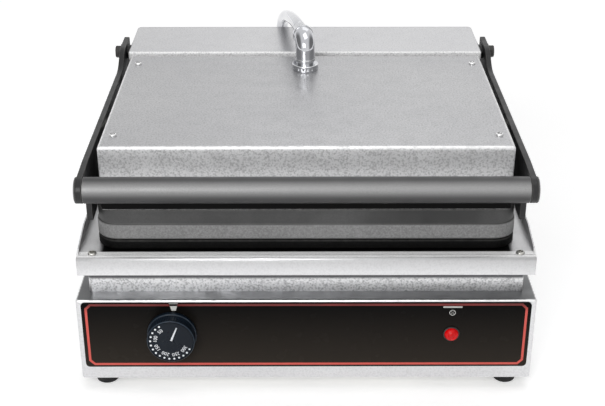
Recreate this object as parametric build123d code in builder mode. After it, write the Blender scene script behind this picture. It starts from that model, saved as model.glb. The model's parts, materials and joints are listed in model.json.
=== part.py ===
from build123d import *
import os
from math import atan2, cos, degrees, radians, sin, tan

# A countertop contact grill: a sheet steel base with its controls, a hinged pair of arms with a
# handle, and a cast upper plate under a steel cover that hangs in the arms. All sizes are in
# millimetres. +Z is up, the user stands on the -Y side, and the worktop is at Z 0.

os.makedirs("parts", exist_ok=True)

# Sheet metal, clearances and shared fastener sizes
sheet = 1.5
gap = 0.3
running = 0.05
hole_play = 0.3
screw_tail = 4
countersink = 0.5

# Base box and feet
base_w = 430
base_d = 362
base_h = 86.3
base_corner = 3
foot_d = 27
foot_tip_d = 21
foot_h = 14
foot_inset = 21
foot_screw_d = 5
foot_head_d = 10
foot_head_h = 3
foot_recess = 1
foot_round = 2
bottom_slot_w = 5
bottom_slot_l = 60
bottom_slot_pitch = 16
bottom_slot_count = 12
bottom_screw_d = 4
bottom_screw_inset = 60
bottom_tab = 16

# Control panel, knob and lamp
panel_side = 5
panel_h = 71
panel_t = 1.2
panel_corner = 4
panel_border = 13.3
knob_side = 89
knob_rise = 38.7
knob_d = 44.5
knob_h = 15
knob_skirt_d = 46.5
knob_skirt_h = 4
knob_lift = 1
knob_round = 1.5
knob_bore_lead = 1
spindle_d = 6
spindle_flat = 1.2
spindle_depth = 11
thermostat_w = 36
thermostat_h = 42
thermostat_d = 30
thermostat_screw_pitch = 28
thermostat_screw_d = 4
thermostat_screw_l = 10
thermostat_round = 2
blade_t = 1
lamp_side = 78.5
lamp_rise = 37.2
lamp_d = 15
lamp_dome = 5
lamp_flange = 1.2
lamp_body_d = 11
lamp_body_l = 32

# Riser and deck
ledge_front = 17
ledge_side = 6
ledge_rear = 12
lip_gap = 27.5
lip_h = 18.9
lip_out = 2
lip_round = 5
deck_side = 5
deck_screw_edge = 14
deck_screw_inset = 8
deck_screw_d = 4
deck_screw_round = 1
rim_h = 10.3
rim_run = 45
rim_start = 4

# Cast plates
plate_side = 10.5
plate_rear_gap = 8
plate_corner = 21
plate_round = 1.5
plate_setback = 15
plate_stand = 9.3
lower_plate_t = 20
plate_flange = 8
upper_plate_h = 30
upper_floor = 12
upper_wall = 8
upper_band = 15
band_step = 1.2
rib_pitch = 9.6
rib_land = 3
rib_depth = 3.5
rib_border = 16
deck_play = 1

# Heating elements, clamps and insulation
element_d = 8
element_legs = 6
element_margin = 13
element_bend = 24
clamp_side = 27.5
clamp_end = 12.5
clamp_bolt_d = 6
clamp_bolt_head = 11
clamp_bolt_head_h = 3.5
wool_side = 16.5
wool_end = 8.5
upper_wool_t = 26
lower_wool_t = 18
pillar_d = 10
pillar_side = 9.5
pillar_end = 10.5
bulb_d = 7
bulb_l = 70
bulb_lead = 3
capillary_d = 2

# Lid cover and its fasteners
cover_side_step = 7.5
cover_front_step = 2
cover_rear_step = 3
cover_h = 62
cover_round = 3
cover_screw_side = 11
cover_screw_end = 26
cover_screw_d = 5
cover_head_d = 7
cover_head_h = 2

# Arms, handle and hangers
arm_t = 5.5
arm_play = 1
arm_drop = 13.3
arm_heel_rise = 19
arm_heel_setback = 17
arm_root = 44
arm_round = 6
ear_rise = 2.7
ear_drop = 26.3
ear_front = 22
ear_back = 20
handle_drop = 26.8
handle_reach = 15
grip_d = 23.5
grip_round = 1.5
rod_d = 8
end_screw_h = 1.8
hanger_drop = 30.3
hanger_d = 8
hanger_head_d = 13
hanger_head_h = 3
hanger_sleeve_d = 14
hanger_tail = 2
bracket_t = 3
bracket_w = 50
bracket_foot = 22

# Rear housing, hinge and counterbalance
housing_step = 3
housing_d = 87
housing_rear = 5
housing_corner = 3
back_flange = 12
vent_w = 40
vent_h = 4
vent_pitch = 10
vent_rows = 5
vent_columns = 4
hinge_in = 26
hinge_drop = 8.3
shaft_d = 8
bush_wall = 1
bush_flange_t = 2
bush_flange_w = 1.2
nut_overhang = 1
hinge_washer_d = 17
hinge_washer_t = 1.5
hinge_nut_af = 12
hinge_nut_t = 6
spacer_d = 15
hinge_bracket_t = 4
hinge_bracket_d = 70
hinge_bracket_foot = 20
lever_in = 42.5
lever_t = 4
lever_boss = 6.4
lever_reach = 32
lever_drop = 8
lever_pin_d = 5
lever_pin_l = 8
lever_wall = 3
spring_d = 14
spring_wire = 2.5
spring_anchor_rise = 11.3
spring_hook = 14
anchor_w = 24
anchor_t = 3
anchor_foot = 16

# Conduit and its elbow fittings
conduit_in = 41
conduit_d = 13
conduit_bore = 10
elbow_d = 21
elbow_neck_d = 18
elbow_bore = 10
elbow_bend = 12
elbow_reach = 18
elbow_shoulder = 3
lid_elbow_rise = 32
lid_elbow_turn = 9
rear_elbow_rise = 24
rear_elbow_x = -27
rear_elbow_drop = 16.3
elbow_nut_d = 27
elbow_nut_t = 6.5
elbow_thread_d = 14
elbow_thread_l = 9
locknut_t = 4
locknut_d = 21
gland_side = 65
gland_rise = 31
gland_d = 22
gland_bore = 9
gland_l = 20
gland_step = 2
terminal_w = 60
terminal_d = 22
terminal_h = 20
terminal_x = 90
terminal_hole_r = 3
terminal_ways = 5
terminal_pitch = 11

# Heights of the stacked pieces
base_top = foot_h + base_h
deck_top = base_top + lip_gap + lip_h
riser_h = lip_gap + lip_h - sheet
cook_z = deck_top + plate_stand
lower_back = cook_z - lower_plate_t
upper_face = cook_z + gap
upper_back = upper_face + upper_floor
cover_foot = upper_face + upper_plate_h
lid_top = cover_foot + cover_h
panel_foot = foot_h + panel_border
knob_z = panel_foot + knob_rise
lamp_z = panel_foot + lamp_rise
gland_z = foot_h + gland_rise
rear_elbow_z = base_top - rear_elbow_drop
spring_anchor_z = deck_top + spring_anchor_rise
arm_heel = cook_z + arm_heel_rise
arm_top = lid_top - arm_drop
ear_top = lid_top + ear_rise
ear_foot = lid_top - ear_drop
handle_z = lid_top - handle_drop
hanger_z = lid_top - hanger_drop
hinge_z = lid_top - hinge_drop

# Widths, which step in from the base's width
panel_w = base_w - 2 * panel_side
deck_w = base_w - 2 * deck_side
riser_w = deck_w - 2 * ledge_side
plate_w = riser_w - 2 * plate_side
plate_body_w = plate_w - 2 * plate_flange
clamp_w = plate_body_w - 2 * clamp_side
wool_w = plate_body_w - 2 * wool_side
cover_w = plate_w - 2 * cover_side_step
housing_w = plate_w - 2 * housing_step
knob_x = knob_side - base_w / 2
lamp_x = base_w / 2 - lamp_side
gland_x = base_w / 2 - gland_side
deck_screw_x = deck_w / 2 - deck_screw_edge
lower_pillar_x = plate_body_w / 2 - pillar_side
cover_screw_x = cover_w / 2 - cover_screw_side
lever_x = housing_w / 2 - lever_in
element_leg = (clamp_w - 2 * element_d) / (element_legs - 1)

# Depths and setbacks from the control panel's wall
housing_setback = base_d - housing_rear - housing_d
plate_d = housing_setback - plate_rear_gap - plate_setback
plate_body_d = plate_d - 2 * plate_flange
clamp_d = plate_body_d - 2 * clamp_end
wool_d = plate_body_d - 2 * wool_end
lower_pillar_y = plate_body_d / 2 - pillar_end
element_run = clamp_d - 2 * element_margin
cover_setback = plate_setback + cover_front_step
cover_d = plate_d - cover_front_step - cover_rear_step
cover_screw_y = cover_d / 2 - cover_screw_end
hanger_setback = plate_setback + plate_d / 2
hinge_setback = housing_setback + hinge_in
arm_root_setback = hinge_setback - arm_root
conduit_setback = cover_setback + cover_d - conduit_in

# Places along Y: the control panel's wall is the datum, set so that the whole depth is centred
rear_reach = base_d + rear_elbow_rise + elbow_d / 2
front_reach = handle_reach + grip_d / 2
front_y = (front_reach - rear_reach) / 2
base_y = front_y + base_d / 2
plate_y = front_y + plate_setback + plate_d / 2
cover_y = front_y + cover_setback + cover_d / 2
housing_y = front_y + housing_setback + housing_d / 2
hinge_y = front_y + hinge_setback
hanger_y = front_y + hanger_setback
handle_y = front_y - handle_reach
conduit_y = front_y + conduit_setback
riser_y = front_y + (ledge_front + base_d - ledge_rear) / 2
riser_d = base_d - ledge_front - ledge_rear
clamp_front = plate_y - clamp_d / 2
capillary_y = (front_y + ledge_front + sheet + clamp_front) / 2
rear_wall_y = front_y + base_d

# Places along X of the two sides' pieces
arm_in = plate_w / 2 + arm_play
arm_out = arm_in + arm_t
cover_side = cover_w / 2
housing_side = housing_w / 2


def level(z):
    """A horizontal sketch plane at height z."""
    return Plane.XY.offset(z)


def facing(y):
    """An upright sketch plane at y that looks towards the user, with X to the right."""
    return Plane.XZ.offset(-y)


def across(x):
    """An upright sketch plane at x that looks along +X, with Y to the right."""
    return Plane.YZ.offset(x)


def fan(count, pitch):
    """Places of evenly spaced pieces on both sides of zero."""
    return [(i - (count - 1) / 2) * pitch for i in range(count)]


# Base: feet, shell and bottom plate
foot_x = base_w / 2 - foot_inset
foot_dy = base_d / 2 - foot_inset
foot_spots = [(x, base_y + y) for x in (-foot_x, foot_x) for y in (-foot_dy, foot_dy)]

with BuildPart() as feet:
    with BuildSketch(level(foot_h)):
        with Locations(*foot_spots):
            Circle(foot_d / 2)
    extrude(amount=-foot_h, taper=degrees(atan2(foot_d - foot_tip_d, 2 * foot_h)))
    fillet(feet.faces().group_by(Axis.Z)[0].edges(), foot_round)
    with BuildSketch(level(0)):
        with Locations(*foot_spots):
            Circle(foot_head_d / 2 + hole_play)
    extrude(amount=foot_recess + foot_head_h, mode=Mode.SUBTRACT)
    with BuildSketch(level(0)):
        with Locations(*foot_spots):
            Circle(foot_screw_d / 2 + hole_play)
    extrude(amount=foot_h, mode=Mode.SUBTRACT)
feet.part.label = "feet"
export_step(feet.part, "parts/feet.step")

with BuildPart() as foot_screws:
    with BuildSketch(level(foot_recess)):
        with Locations(*foot_spots):
            Circle(foot_head_d / 2)
    extrude(amount=foot_head_h)
    with BuildSketch(level(foot_recess)):
        with Locations(*foot_spots):
            Circle(foot_screw_d / 2)
    extrude(amount=foot_h + sheet + screw_tail)
foot_screws.part.label = "foot_screws"
export_step(foot_screws.part, "parts/foot_screws.step")

bottom_w = base_w - 2 * (sheet + gap)
bottom_d = base_d - 2 * (sheet + gap)
bottom_spots = [
    (x, base_y + y)
    for x in (bottom_screw_inset - bottom_w / 2, bottom_w / 2 - bottom_screw_inset)
    for y in (bottom_tab / 2 - bottom_d / 2, bottom_d / 2 - bottom_tab / 2)
]

with BuildPart() as base_shell:
    with BuildSketch(level(foot_h)):
        with Locations((0, base_y)):
            RectangleRounded(base_w, base_d, base_corner)
    extrude(amount=base_h)
    with BuildSketch(level(foot_h)):
        with Locations((0, base_y)):
            RectangleRounded(base_w - 2 * sheet, base_d - 2 * sheet, base_corner - sheet)
    extrude(amount=base_h - sheet, mode=Mode.SUBTRACT)
    # tabs along the front and rear walls that the bottom plate is screwed to
    with BuildSketch(level(foot_h + sheet)):
        for x, y in bottom_spots:
            with Locations((x, y)):
                Rectangle(bottom_tab, bottom_tab + 2 * gap)
    extrude(amount=sheet)
    with BuildSketch(level(foot_h + sheet)):
        with Locations(*bottom_spots):
            Circle(bottom_screw_d / 2 + hole_play)
    extrude(amount=sheet, mode=Mode.SUBTRACT)
    # openings for the knob's spindle, its screws and the lamp
    with BuildSketch(facing(front_y)):
        with Locations((knob_x, knob_z)):
            Circle(spindle_d)
        with Locations(*[(knob_x + s, knob_z) for s in fan(2, thermostat_screw_pitch)]):
            Circle(thermostat_screw_d / 2 + hole_play)
        with Locations((lamp_x, lamp_z)):
            Circle(lamp_body_d / 2 + hole_play)
    extrude(amount=-sheet, mode=Mode.SUBTRACT)
    # openings in the rear wall for the conduit and the mains inlet
    with BuildSketch(facing(rear_wall_y)):
        with Locations((rear_elbow_x, rear_elbow_z), (gland_x, gland_z)):
            Circle(elbow_thread_d / 2 + hole_play)
    extrude(amount=sheet, mode=Mode.SUBTRACT)
    # openings in the top for the wiring and for the thermostat's capillary
    wire_hole_y = front_y + housing_setback - 2 * elbow_d
    with BuildSketch(level(base_top - sheet)):
        with Locations((rear_elbow_x, wire_hole_y)):
            Circle(elbow_d / 2)
        with Locations((-element_leg, capillary_y)):
            Circle(bulb_d / 2)
    extrude(amount=sheet, mode=Mode.SUBTRACT)
base_shell.part.label = "base_shell"
export_step(base_shell.part, "parts/base_shell.step")

with BuildPart() as bottom_plate:
    with BuildSketch(level(foot_h)):
        with Locations((0, base_y)):
            RectangleRounded(bottom_w, bottom_d, base_corner)
        with Locations(*[(x, base_y) for x in fan(bottom_slot_count, bottom_slot_pitch)]):
            SlotOverall(bottom_slot_l, bottom_slot_w, rotation=90, mode=Mode.SUBTRACT)
        with Locations(*foot_spots):
            Circle(foot_screw_d / 2 + hole_play, mode=Mode.SUBTRACT)
        with Locations(*bottom_spots):
            Circle(bottom_screw_d / 2 + hole_play, mode=Mode.SUBTRACT)
    extrude(amount=sheet)
bottom_plate.part.label = "bottom_plate"
export_step(bottom_plate.part, "parts/bottom_plate.step")

with BuildPart() as bottom_screws:
    with BuildSketch(level(foot_h)):
        with Locations(*bottom_spots):
            Circle(bottom_screw_d)
    extrude(amount=-bottom_screw_d / 2)
    with BuildSketch(level(foot_h - bottom_screw_d / 2)):
        with Locations(*bottom_spots):
            Circle(bottom_screw_d / 2)
    extrude(amount=bottom_screw_d / 2 + 2 * sheet + screw_tail)
bottom_screws.part.label = "bottom_screws"
export_step(bottom_screws.part, "parts/bottom_screws.step")

# Control panel, thermostat, knob and pilot lamp
with BuildPart() as control_panel:
    with BuildSketch(facing(front_y)):
        with Locations((0, panel_foot + panel_h / 2)):
            RectangleRounded(panel_w, panel_h, panel_corner)
        with Locations((knob_x, knob_z)):
            Circle(spindle_d, mode=Mode.SUBTRACT)
        with Locations(*[(knob_x + s, knob_z) for s in fan(2, thermostat_screw_pitch)]):
            Circle(thermostat_screw_d / 2 + hole_play, mode=Mode.SUBTRACT)
        with Locations((lamp_x, lamp_z)):
            Circle(lamp_body_d / 2 + hole_play, mode=Mode.SUBTRACT)
    extrude(amount=panel_t)
    for s in fan(2, thermostat_screw_pitch):
        with Locations(facing(front_y - panel_t) * Location((knob_x + s, knob_z, 0))):
            screw_hole_r = thermostat_screw_d / 2 + hole_play
            CounterSinkHole(screw_hole_r, screw_hole_r + countersink, sheet)
control_panel.part.label = "control_panel"
export_step(control_panel.part, "parts/control_panel.step")

thermostat_y = front_y + sheet
with BuildPart() as thermostat_body:
    with BuildSketch(facing(thermostat_y)):
        with Locations((knob_x, knob_z)):
            RectangleRounded(thermostat_w, thermostat_h, thermostat_round)
    extrude(amount=-thermostat_d)
    with BuildSketch(facing(thermostat_y)):
        with Locations((knob_x, knob_z)):
            Circle(spindle_d / 2 + running)
    extrude(amount=-spindle_depth, mode=Mode.SUBTRACT)
    with BuildSketch(facing(thermostat_y)):
        with Locations(*[(knob_x + s, knob_z) for s in fan(2, thermostat_screw_pitch)]):
            Circle(thermostat_screw_d / 2 + hole_play)
    extrude(amount=-thermostat_screw_l, mode=Mode.SUBTRACT)
    # two flat terminals at the rear
    with BuildSketch(facing(thermostat_y + thermostat_d)):
        with Locations(*[(knob_x + s, knob_z) for s in fan(2, thermostat_w / 3)]):
            Rectangle(blade_t, thermostat_d / 5)
    extrude(amount=-thermostat_d / 4)
thermostat_body.part.label = "thermostat_body"
export_step(thermostat_body.part, "parts/thermostat_body.step")

with BuildPart() as thermostat_screws:
    for s in fan(2, thermostat_screw_pitch):
        with BuildSketch(facing(front_y - panel_t + running)):
            with Locations((knob_x + s, knob_z)):
                Circle(thermostat_screw_d / 2)
        extrude(amount=running - thermostat_screw_l)
thermostat_screws.part.label = "thermostat_screws"
export_step(thermostat_screws.part, "parts/thermostat_screws.step")

knob_back = front_y - panel_t - knob_lift
with BuildPart() as knob:
    with BuildSketch(facing(knob_back)):
        with Locations((knob_x, knob_z)):
            Circle(knob_skirt_d / 2)
    extrude(amount=knob_skirt_h)
    with BuildSketch(facing(knob_back - knob_skirt_h)):
        with Locations((knob_x, knob_z)):
            Circle(knob_d / 2)
    extrude(amount=knob_h - knob_skirt_h)
    fillet(knob.faces().sort_by(Axis.Y)[0].edges(), knob_round)
    with BuildSketch(facing(knob_back)):
        with Locations((knob_x, knob_z)):
            Circle(spindle_d / 2 + running)
    extrude(amount=knob_h - knob_skirt_h, mode=Mode.SUBTRACT)
    # the flat in the bore that turns the spindle
    with BuildSketch(facing(knob_back - knob_bore_lead)):
        with Locations((knob_x, knob_z + spindle_d / 2 + running)):
            Rectangle(spindle_d, 2 * spindle_flat)
        with Locations((knob_x, knob_z)):
            Circle(spindle_d / 2 + 2 * running, mode=Mode.INTERSECT)
    extrude(amount=knob_h - knob_skirt_h - knob_bore_lead)
knob.part.label = "knob"
export_step(knob.part, "parts/knob.step")

with BuildPart() as thermostat_spindle:
    with BuildSketch(facing(thermostat_y + spindle_depth - gap)):
        with Locations((knob_x, knob_z)):
            Circle(spindle_d / 2)
    extrude(amount=spindle_depth - gap + thermostat_y - knob_back)
    with BuildSketch(facing(knob_back)):
        with Locations((knob_x, knob_z)):
            Circle(spindle_d / 2)
        with Locations((knob_x, knob_z + spindle_d / 2)):
            Rectangle(spindle_d, 2 * (spindle_flat + running), mode=Mode.SUBTRACT)
    extrude(amount=knob_h - knob_skirt_h - gap)
thermostat_spindle.part.label = "thermostat_spindle"
export_step(thermostat_spindle.part, "parts/thermostat_spindle.step")

# the lens is a flange with a spherical dome on it
dome_r = (lamp_dome**2 + (lamp_d / 2) ** 2) / (2 * lamp_dome)
with BuildPart() as pilot_lamp_lens:
    with BuildSketch(facing(front_y - panel_t)):
        with Locations((lamp_x, lamp_z)):
            Circle(lamp_d / 2)
    extrude(amount=lamp_flange + lamp_dome)
    with Locations((lamp_x, front_y - panel_t - lamp_flange - lamp_dome + dome_r, lamp_z)):
        Sphere(dome_r, mode=Mode.INTERSECT)
    with BuildSketch(facing(front_y - panel_t)):
        with Locations((lamp_x, lamp_z)):
            Circle(lamp_d / 2)
    extrude(amount=lamp_flange)
pilot_lamp_lens.part.label = "pilot_lamp_lens"
export_step(pilot_lamp_lens.part, "parts/pilot_lamp_lens.step")

with BuildPart() as pilot_lamp_body:
    with BuildSketch(facing(front_y - panel_t)):
        with Locations((lamp_x, lamp_z)):
            Circle(lamp_body_d / 2)
    extrude(amount=-lamp_body_l)
    with BuildSketch(facing(front_y + sheet)):
        with Locations((lamp_x, lamp_z)):
            Circle(lamp_d / 2)
    extrude(amount=-sheet)
pilot_lamp_body.part.label = "pilot_lamp_body"
export_step(pilot_lamp_body.part, "parts/pilot_lamp_body.step")

# Riser and deck
screw_spots = [
    (x, y)
    for x in (-deck_screw_x, deck_screw_x)
    for y in (front_y - lip_out + deck_screw_inset, front_y + base_d - deck_screw_inset)
]
deck_y = front_y + (base_d - lip_out) / 2
deck_d = base_d + lip_out
deck_inner_w = deck_w - 2 * sheet
deck_inner_d = deck_d - 2 * sheet

with BuildPart() as riser_frame:
    with BuildSketch(level(base_top)):
        with Locations((0, riser_y)):
            RectangleRounded(riser_w, riser_d, base_corner)
            RectangleRounded(
                riser_w - 2 * sheet, riser_d - 2 * sheet, base_corner - sheet, mode=Mode.SUBTRACT
            )
    extrude(amount=riser_h)
    # the flange under the deck, which the deck's screws go through
    with BuildSketch(level(base_top + riser_h - sheet)):
        with Locations((0, deck_y)):
            Rectangle(deck_inner_w - 2 * gap, deck_inner_d - 2 * gap)
        with Locations((0, riser_y)):
            Rectangle(riser_w - sheet, riser_d - sheet, mode=Mode.SUBTRACT)
        with Locations(*screw_spots):
            Circle(deck_screw_d / 2 + hole_play, mode=Mode.SUBTRACT)
    extrude(amount=sheet)
riser_frame.part.label = "riser_frame"
export_step(riser_frame.part, "parts/riser_frame.step")

with BuildPart() as deck:
    with BuildSketch(level(base_top + lip_gap)):
        with Locations((0, deck_y)):
            Rectangle(deck_w, deck_d)
    extrude(amount=lip_h)
    top_edges = deck.edges().filter_by(Axis.X).group_by(Axis.Z)[-1]
    fillet(top_edges.sort_by(Axis.Y)[0], lip_round)
    with BuildSketch(level(base_top + lip_gap)):
        with Locations((0, deck_y)):
            Rectangle(deck_inner_w, deck_inner_d)
    extrude(amount=lip_h - sheet, mode=Mode.SUBTRACT)
    with BuildSketch(level(deck_top)):
        with Locations((0, plate_y)):
            RectangleRounded(
                plate_body_w + 2 * deck_play,
                plate_body_d + 2 * deck_play,
                plate_corner - plate_flange + deck_play,
            )
        with Locations(*screw_spots):
            Circle(deck_screw_d / 2 + hole_play)
    extrude(amount=-sheet, mode=Mode.SUBTRACT)
    # raised side rims that start with a slope behind the lip
    for x in (-deck_w / 2, deck_w / 2 - sheet):
        with BuildSketch(across(x)):
            with BuildLine():
                Polyline(
                    (front_y + rim_start, deck_top - lip_round),
                    (front_y + rim_start, deck_top + rim_h / 6),
                    (front_y + rim_run, deck_top + rim_h),
                    (front_y + base_d, deck_top + rim_h),
                    (front_y + base_d, deck_top - lip_round),
                    close=True,
                )
            make_face()
        extrude(amount=sheet)
deck.part.label = "deck"
export_step(deck.part, "parts/deck.step")

with BuildPart() as deck_screws:
    with BuildSketch(level(deck_top)):
        with Locations(*screw_spots):
            Circle(deck_screw_d)
    extrude(amount=deck_screw_d / 2)
    fillet(deck_screws.faces().group_by(Axis.Z)[-1].edges(), deck_screw_round)
    with BuildSketch(level(deck_top)):
        with Locations(*screw_spots):
            Circle(deck_screw_d / 2)
    extrude(amount=-deck_screw_d * 2)
deck_screws.part.label = "deck_screws"
export_step(deck_screws.part, "parts/deck_screws.step")

# Cast plates. Their ribs run from front to back inside a flat border.
rib_run = plate_d - 2 * rib_border
rib_count = int((plate_w - 2 * rib_border) / rib_pitch) - 1
groove_w = rib_pitch - rib_land


def grooves(z, direction):
    """Adds one V-shaped section for each groove between ribs, cut from height z along direction."""
    for x in fan(rib_count, rib_pitch):
        left = (x - groove_w / 2, z)
        right = (x + groove_w / 2, z)
        Polygon(left, right, (x, z + direction * rib_depth), align=None)


pillar_spots = [
    (x, plate_y + y)
    for x in (-lower_pillar_x, lower_pillar_x)
    for y in (-lower_pillar_y, lower_pillar_y)
]
clamp_xs = [-2 * element_leg, -element_leg, element_leg, 2 * element_leg]
clamp_spots = [(x, plate_y) for x in clamp_xs]

# The lower plate's flange covers the edge of the deck's opening, and its body hangs through it
with BuildPart() as lower_plate:
    with BuildSketch(level(lower_back)):
        with Locations((0, plate_y)):
            RectangleRounded(plate_body_w, plate_body_d, plate_corner - plate_flange)
    extrude(amount=lower_plate_t)
    with BuildSketch(level(cook_z)):
        with Locations((0, plate_y)):
            RectangleRounded(plate_w, plate_d, plate_corner)
    extrude(amount=gap - plate_stand)
    fillet(lower_plate.faces().sort_by(Axis.Z)[-1].edges(), plate_round)
    with BuildSketch(facing(plate_y - rib_run / 2)):
        grooves(cook_z, -1)
    extrude(amount=-rib_run, mode=Mode.SUBTRACT)
lower_plate.part.label = "lower_plate"
export_step(lower_plate.part, "parts/lower_plate.step")

with BuildPart() as lower_pillars:
    with BuildSketch(level(base_top)):
        with Locations(*pillar_spots):
            RegularPolygon(pillar_d / 2, 6)
    extrude(amount=lower_back - base_top)
lower_pillars.part.label = "lower_pillars"
export_step(lower_pillars.part, "parts/lower_pillars.step")

with BuildPart() as upper_plate:
    with BuildSketch(level(upper_face)):
        with Locations((0, plate_y)):
            RectangleRounded(plate_w, plate_d, plate_corner)
    extrude(amount=upper_band)
    fillet(upper_plate.faces().sort_by(Axis.Z)[0].edges(), plate_round)
    with BuildSketch(level(upper_face + upper_band)):
        with Locations((0, plate_y)):
            RectangleRounded(
                plate_w - 2 * band_step, plate_d - 2 * band_step, plate_corner - band_step
            )
    extrude(amount=upper_plate_h - upper_band)
    with BuildSketch(level(upper_back)):
        with Locations((0, plate_y)):
            RectangleRounded(
                plate_w - 2 * (band_step + upper_wall),
                plate_d - 2 * (band_step + upper_wall),
                plate_corner - upper_wall,
            )
    extrude(amount=upper_plate_h - upper_floor, mode=Mode.SUBTRACT)
    with BuildSketch(facing(plate_y - rib_run / 2)):
        grooves(upper_face, 1)
    extrude(amount=-rib_run, mode=Mode.SUBTRACT)
upper_plate.part.label = "upper_plate"
export_step(upper_plate.part, "parts/upper_plate.step")

# Heating elements: one tube each, laid in long legs, with its clamp plate, bolts and wool
leg_xs = fan(element_legs, element_leg)


def element_route():
    """Corner points of the element's legs, front and rear in turn."""
    points = []
    for i, x in enumerate(leg_xs):
        ends = [(x, plate_y + element_run / 2), (x, plate_y - element_run / 2)]
        points += ends if i % 2 == 0 else ends[::-1]
    return points


with BuildPart() as lower_element:
    with BuildLine(level(lower_back - element_d / 2)) as lower_legs:
        FilletPolyline(*element_route(), radius=element_bend)
    with BuildSketch(Plane(lower_legs.line @ 0, z_dir=lower_legs.line % 0)):
        Circle(element_d / 2)
    sweep()
lower_element.part.label = "lower_element"
export_step(lower_element.part, "parts/lower_element.step")

with BuildPart() as upper_element:
    with BuildLine(level(upper_back + element_d / 2)) as upper_legs:
        FilletPolyline(*element_route(), radius=element_bend)
    with BuildSketch(Plane(upper_legs.line @ 0, z_dir=upper_legs.line % 0)):
        Circle(element_d / 2)
    sweep()
upper_element.part.label = "upper_element"
export_step(upper_element.part, "parts/upper_element.step")

lower_clamp_z = lower_back - element_d - sheet
upper_clamp_z = upper_back + element_d

with BuildPart() as lower_clamp_plate:
    with BuildSketch(level(lower_clamp_z)):
        with Locations((0, plate_y)):
            Rectangle(clamp_w, clamp_d)
        with Locations(*clamp_spots):
            Circle(clamp_bolt_d / 2 + hole_play, mode=Mode.SUBTRACT)
    extrude(amount=sheet)
lower_clamp_plate.part.label = "lower_clamp_plate"
export_step(lower_clamp_plate.part, "parts/lower_clamp_plate.step")

with BuildPart() as upper_clamp_plate:
    with BuildSketch(level(upper_clamp_z)):
        with Locations((0, plate_y)):
            Rectangle(clamp_w, clamp_d)
        with Locations(*clamp_spots):
            Circle(clamp_bolt_d / 2 + hole_play, mode=Mode.SUBTRACT)
    extrude(amount=sheet)
upper_clamp_plate.part.label = "upper_clamp_plate"
export_step(upper_clamp_plate.part, "parts/upper_clamp_plate.step")

with BuildPart() as lower_clamp_bolts:
    with BuildSketch(level(lower_clamp_z)):
        with Locations(*clamp_spots):
            RegularPolygon(clamp_bolt_head / 2, 6)
    extrude(amount=-clamp_bolt_head_h)
    with BuildSketch(level(lower_clamp_z)):
        with Locations(*clamp_spots):
            Circle(clamp_bolt_d / 2)
    extrude(amount=sheet + element_d)
lower_clamp_bolts.part.label = "lower_clamp_bolts"
export_step(lower_clamp_bolts.part, "parts/lower_clamp_bolts.step")

with BuildPart() as upper_clamp_bolts:
    with BuildSketch(level(upper_clamp_z + sheet)):
        with Locations(*clamp_spots):
            RegularPolygon(clamp_bolt_head / 2, 6)
    extrude(amount=clamp_bolt_head_h)
    with BuildSketch(level(upper_back)):
        with Locations(*clamp_spots):
            Circle(clamp_bolt_d / 2)
    extrude(amount=sheet + element_d)
upper_clamp_bolts.part.label = "upper_clamp_bolts"
export_step(upper_clamp_bolts.part, "parts/upper_clamp_bolts.step")

with BuildPart() as lower_insulation:
    with BuildSketch(level(lower_clamp_z - clamp_bolt_head_h - gap)):
        with Locations((0, plate_y)):
            RectangleRounded(wool_w, wool_d, base_corner)
    extrude(amount=-lower_wool_t)
lower_insulation.part.label = "lower_insulation"
export_step(lower_insulation.part, "parts/lower_insulation.step")

with BuildPart() as upper_insulation:
    with BuildSketch(level(upper_clamp_z + sheet + clamp_bolt_head_h + gap)):
        with Locations((0, plate_y)):
            RectangleRounded(wool_w, wool_d, base_corner)
    extrude(amount=upper_wool_t)
upper_insulation.part.label = "upper_insulation"
export_step(upper_insulation.part, "parts/upper_insulation.step")

# The thermostat's sensor lies along the lower plate, and its capillary goes down to the body
bulb_z = lower_back - bulb_d / 2 - gap / 2
bulb_front = plate_y - element_run / 2 - bulb_lead
capillary_route = [
    (-element_leg, bulb_front, bulb_z),
    (-element_leg, capillary_y, bulb_z),
    (-element_leg, capillary_y, knob_z + thermostat_h / 4),
    (knob_x + thermostat_w / 2, capillary_y, knob_z + thermostat_h / 4),
]
with BuildPart() as thermostat_capillary:
    with BuildSketch(facing(bulb_front)):
        with Locations((-element_leg, bulb_z)):
            Circle(bulb_d / 2 - gap / 2)
    extrude(amount=-bulb_l)
    with BuildLine() as capillary_path:
        FilletPolyline(*capillary_route, radius=3 * capillary_d)
    with BuildSketch(Plane(capillary_path.line @ 0, z_dir=capillary_path.line % 0)):
        Circle(capillary_d / 2)
    sweep()
thermostat_capillary.part.label = "thermostat_capillary"
export_step(thermostat_capillary.part, "parts/thermostat_capillary.step")

# Lid cover with its pillars and screws
cover_spots = [
    (x, cover_y + y)
    for x in (-cover_screw_x, cover_screw_x)
    for y in (-cover_screw_y, cover_screw_y)
]

with BuildPart() as lid_cover:
    with BuildSketch(level(cover_foot)):
        with Locations((0, cover_y)):
            Rectangle(cover_w, cover_d)
    extrude(amount=cover_h)
    fillet(lid_cover.edges().group_by(Axis.Z)[-1], cover_round)
    with BuildSketch(level(cover_foot)):
        with Locations((0, cover_y)):
            Rectangle(cover_w - 2 * sheet, cover_d - 2 * sheet)
    extrude(amount=cover_h - sheet, mode=Mode.SUBTRACT)
    with BuildSketch(level(lid_top)):
        with Locations((0, conduit_y)):
            Circle(elbow_thread_d / 2 + hole_play)
        with Locations(*cover_spots):
            Circle(cover_screw_d / 2 + hole_play)
    extrude(amount=-sheet, mode=Mode.SUBTRACT)
    with BuildSketch(across(-cover_side)):
        with Locations((hanger_y, hanger_z)):
            Circle(hanger_d / 2 + hole_play)
    extrude(amount=cover_w, mode=Mode.SUBTRACT)
lid_cover.part.label = "lid_cover"
export_step(lid_cover.part, "parts/lid_cover.step")

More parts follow.
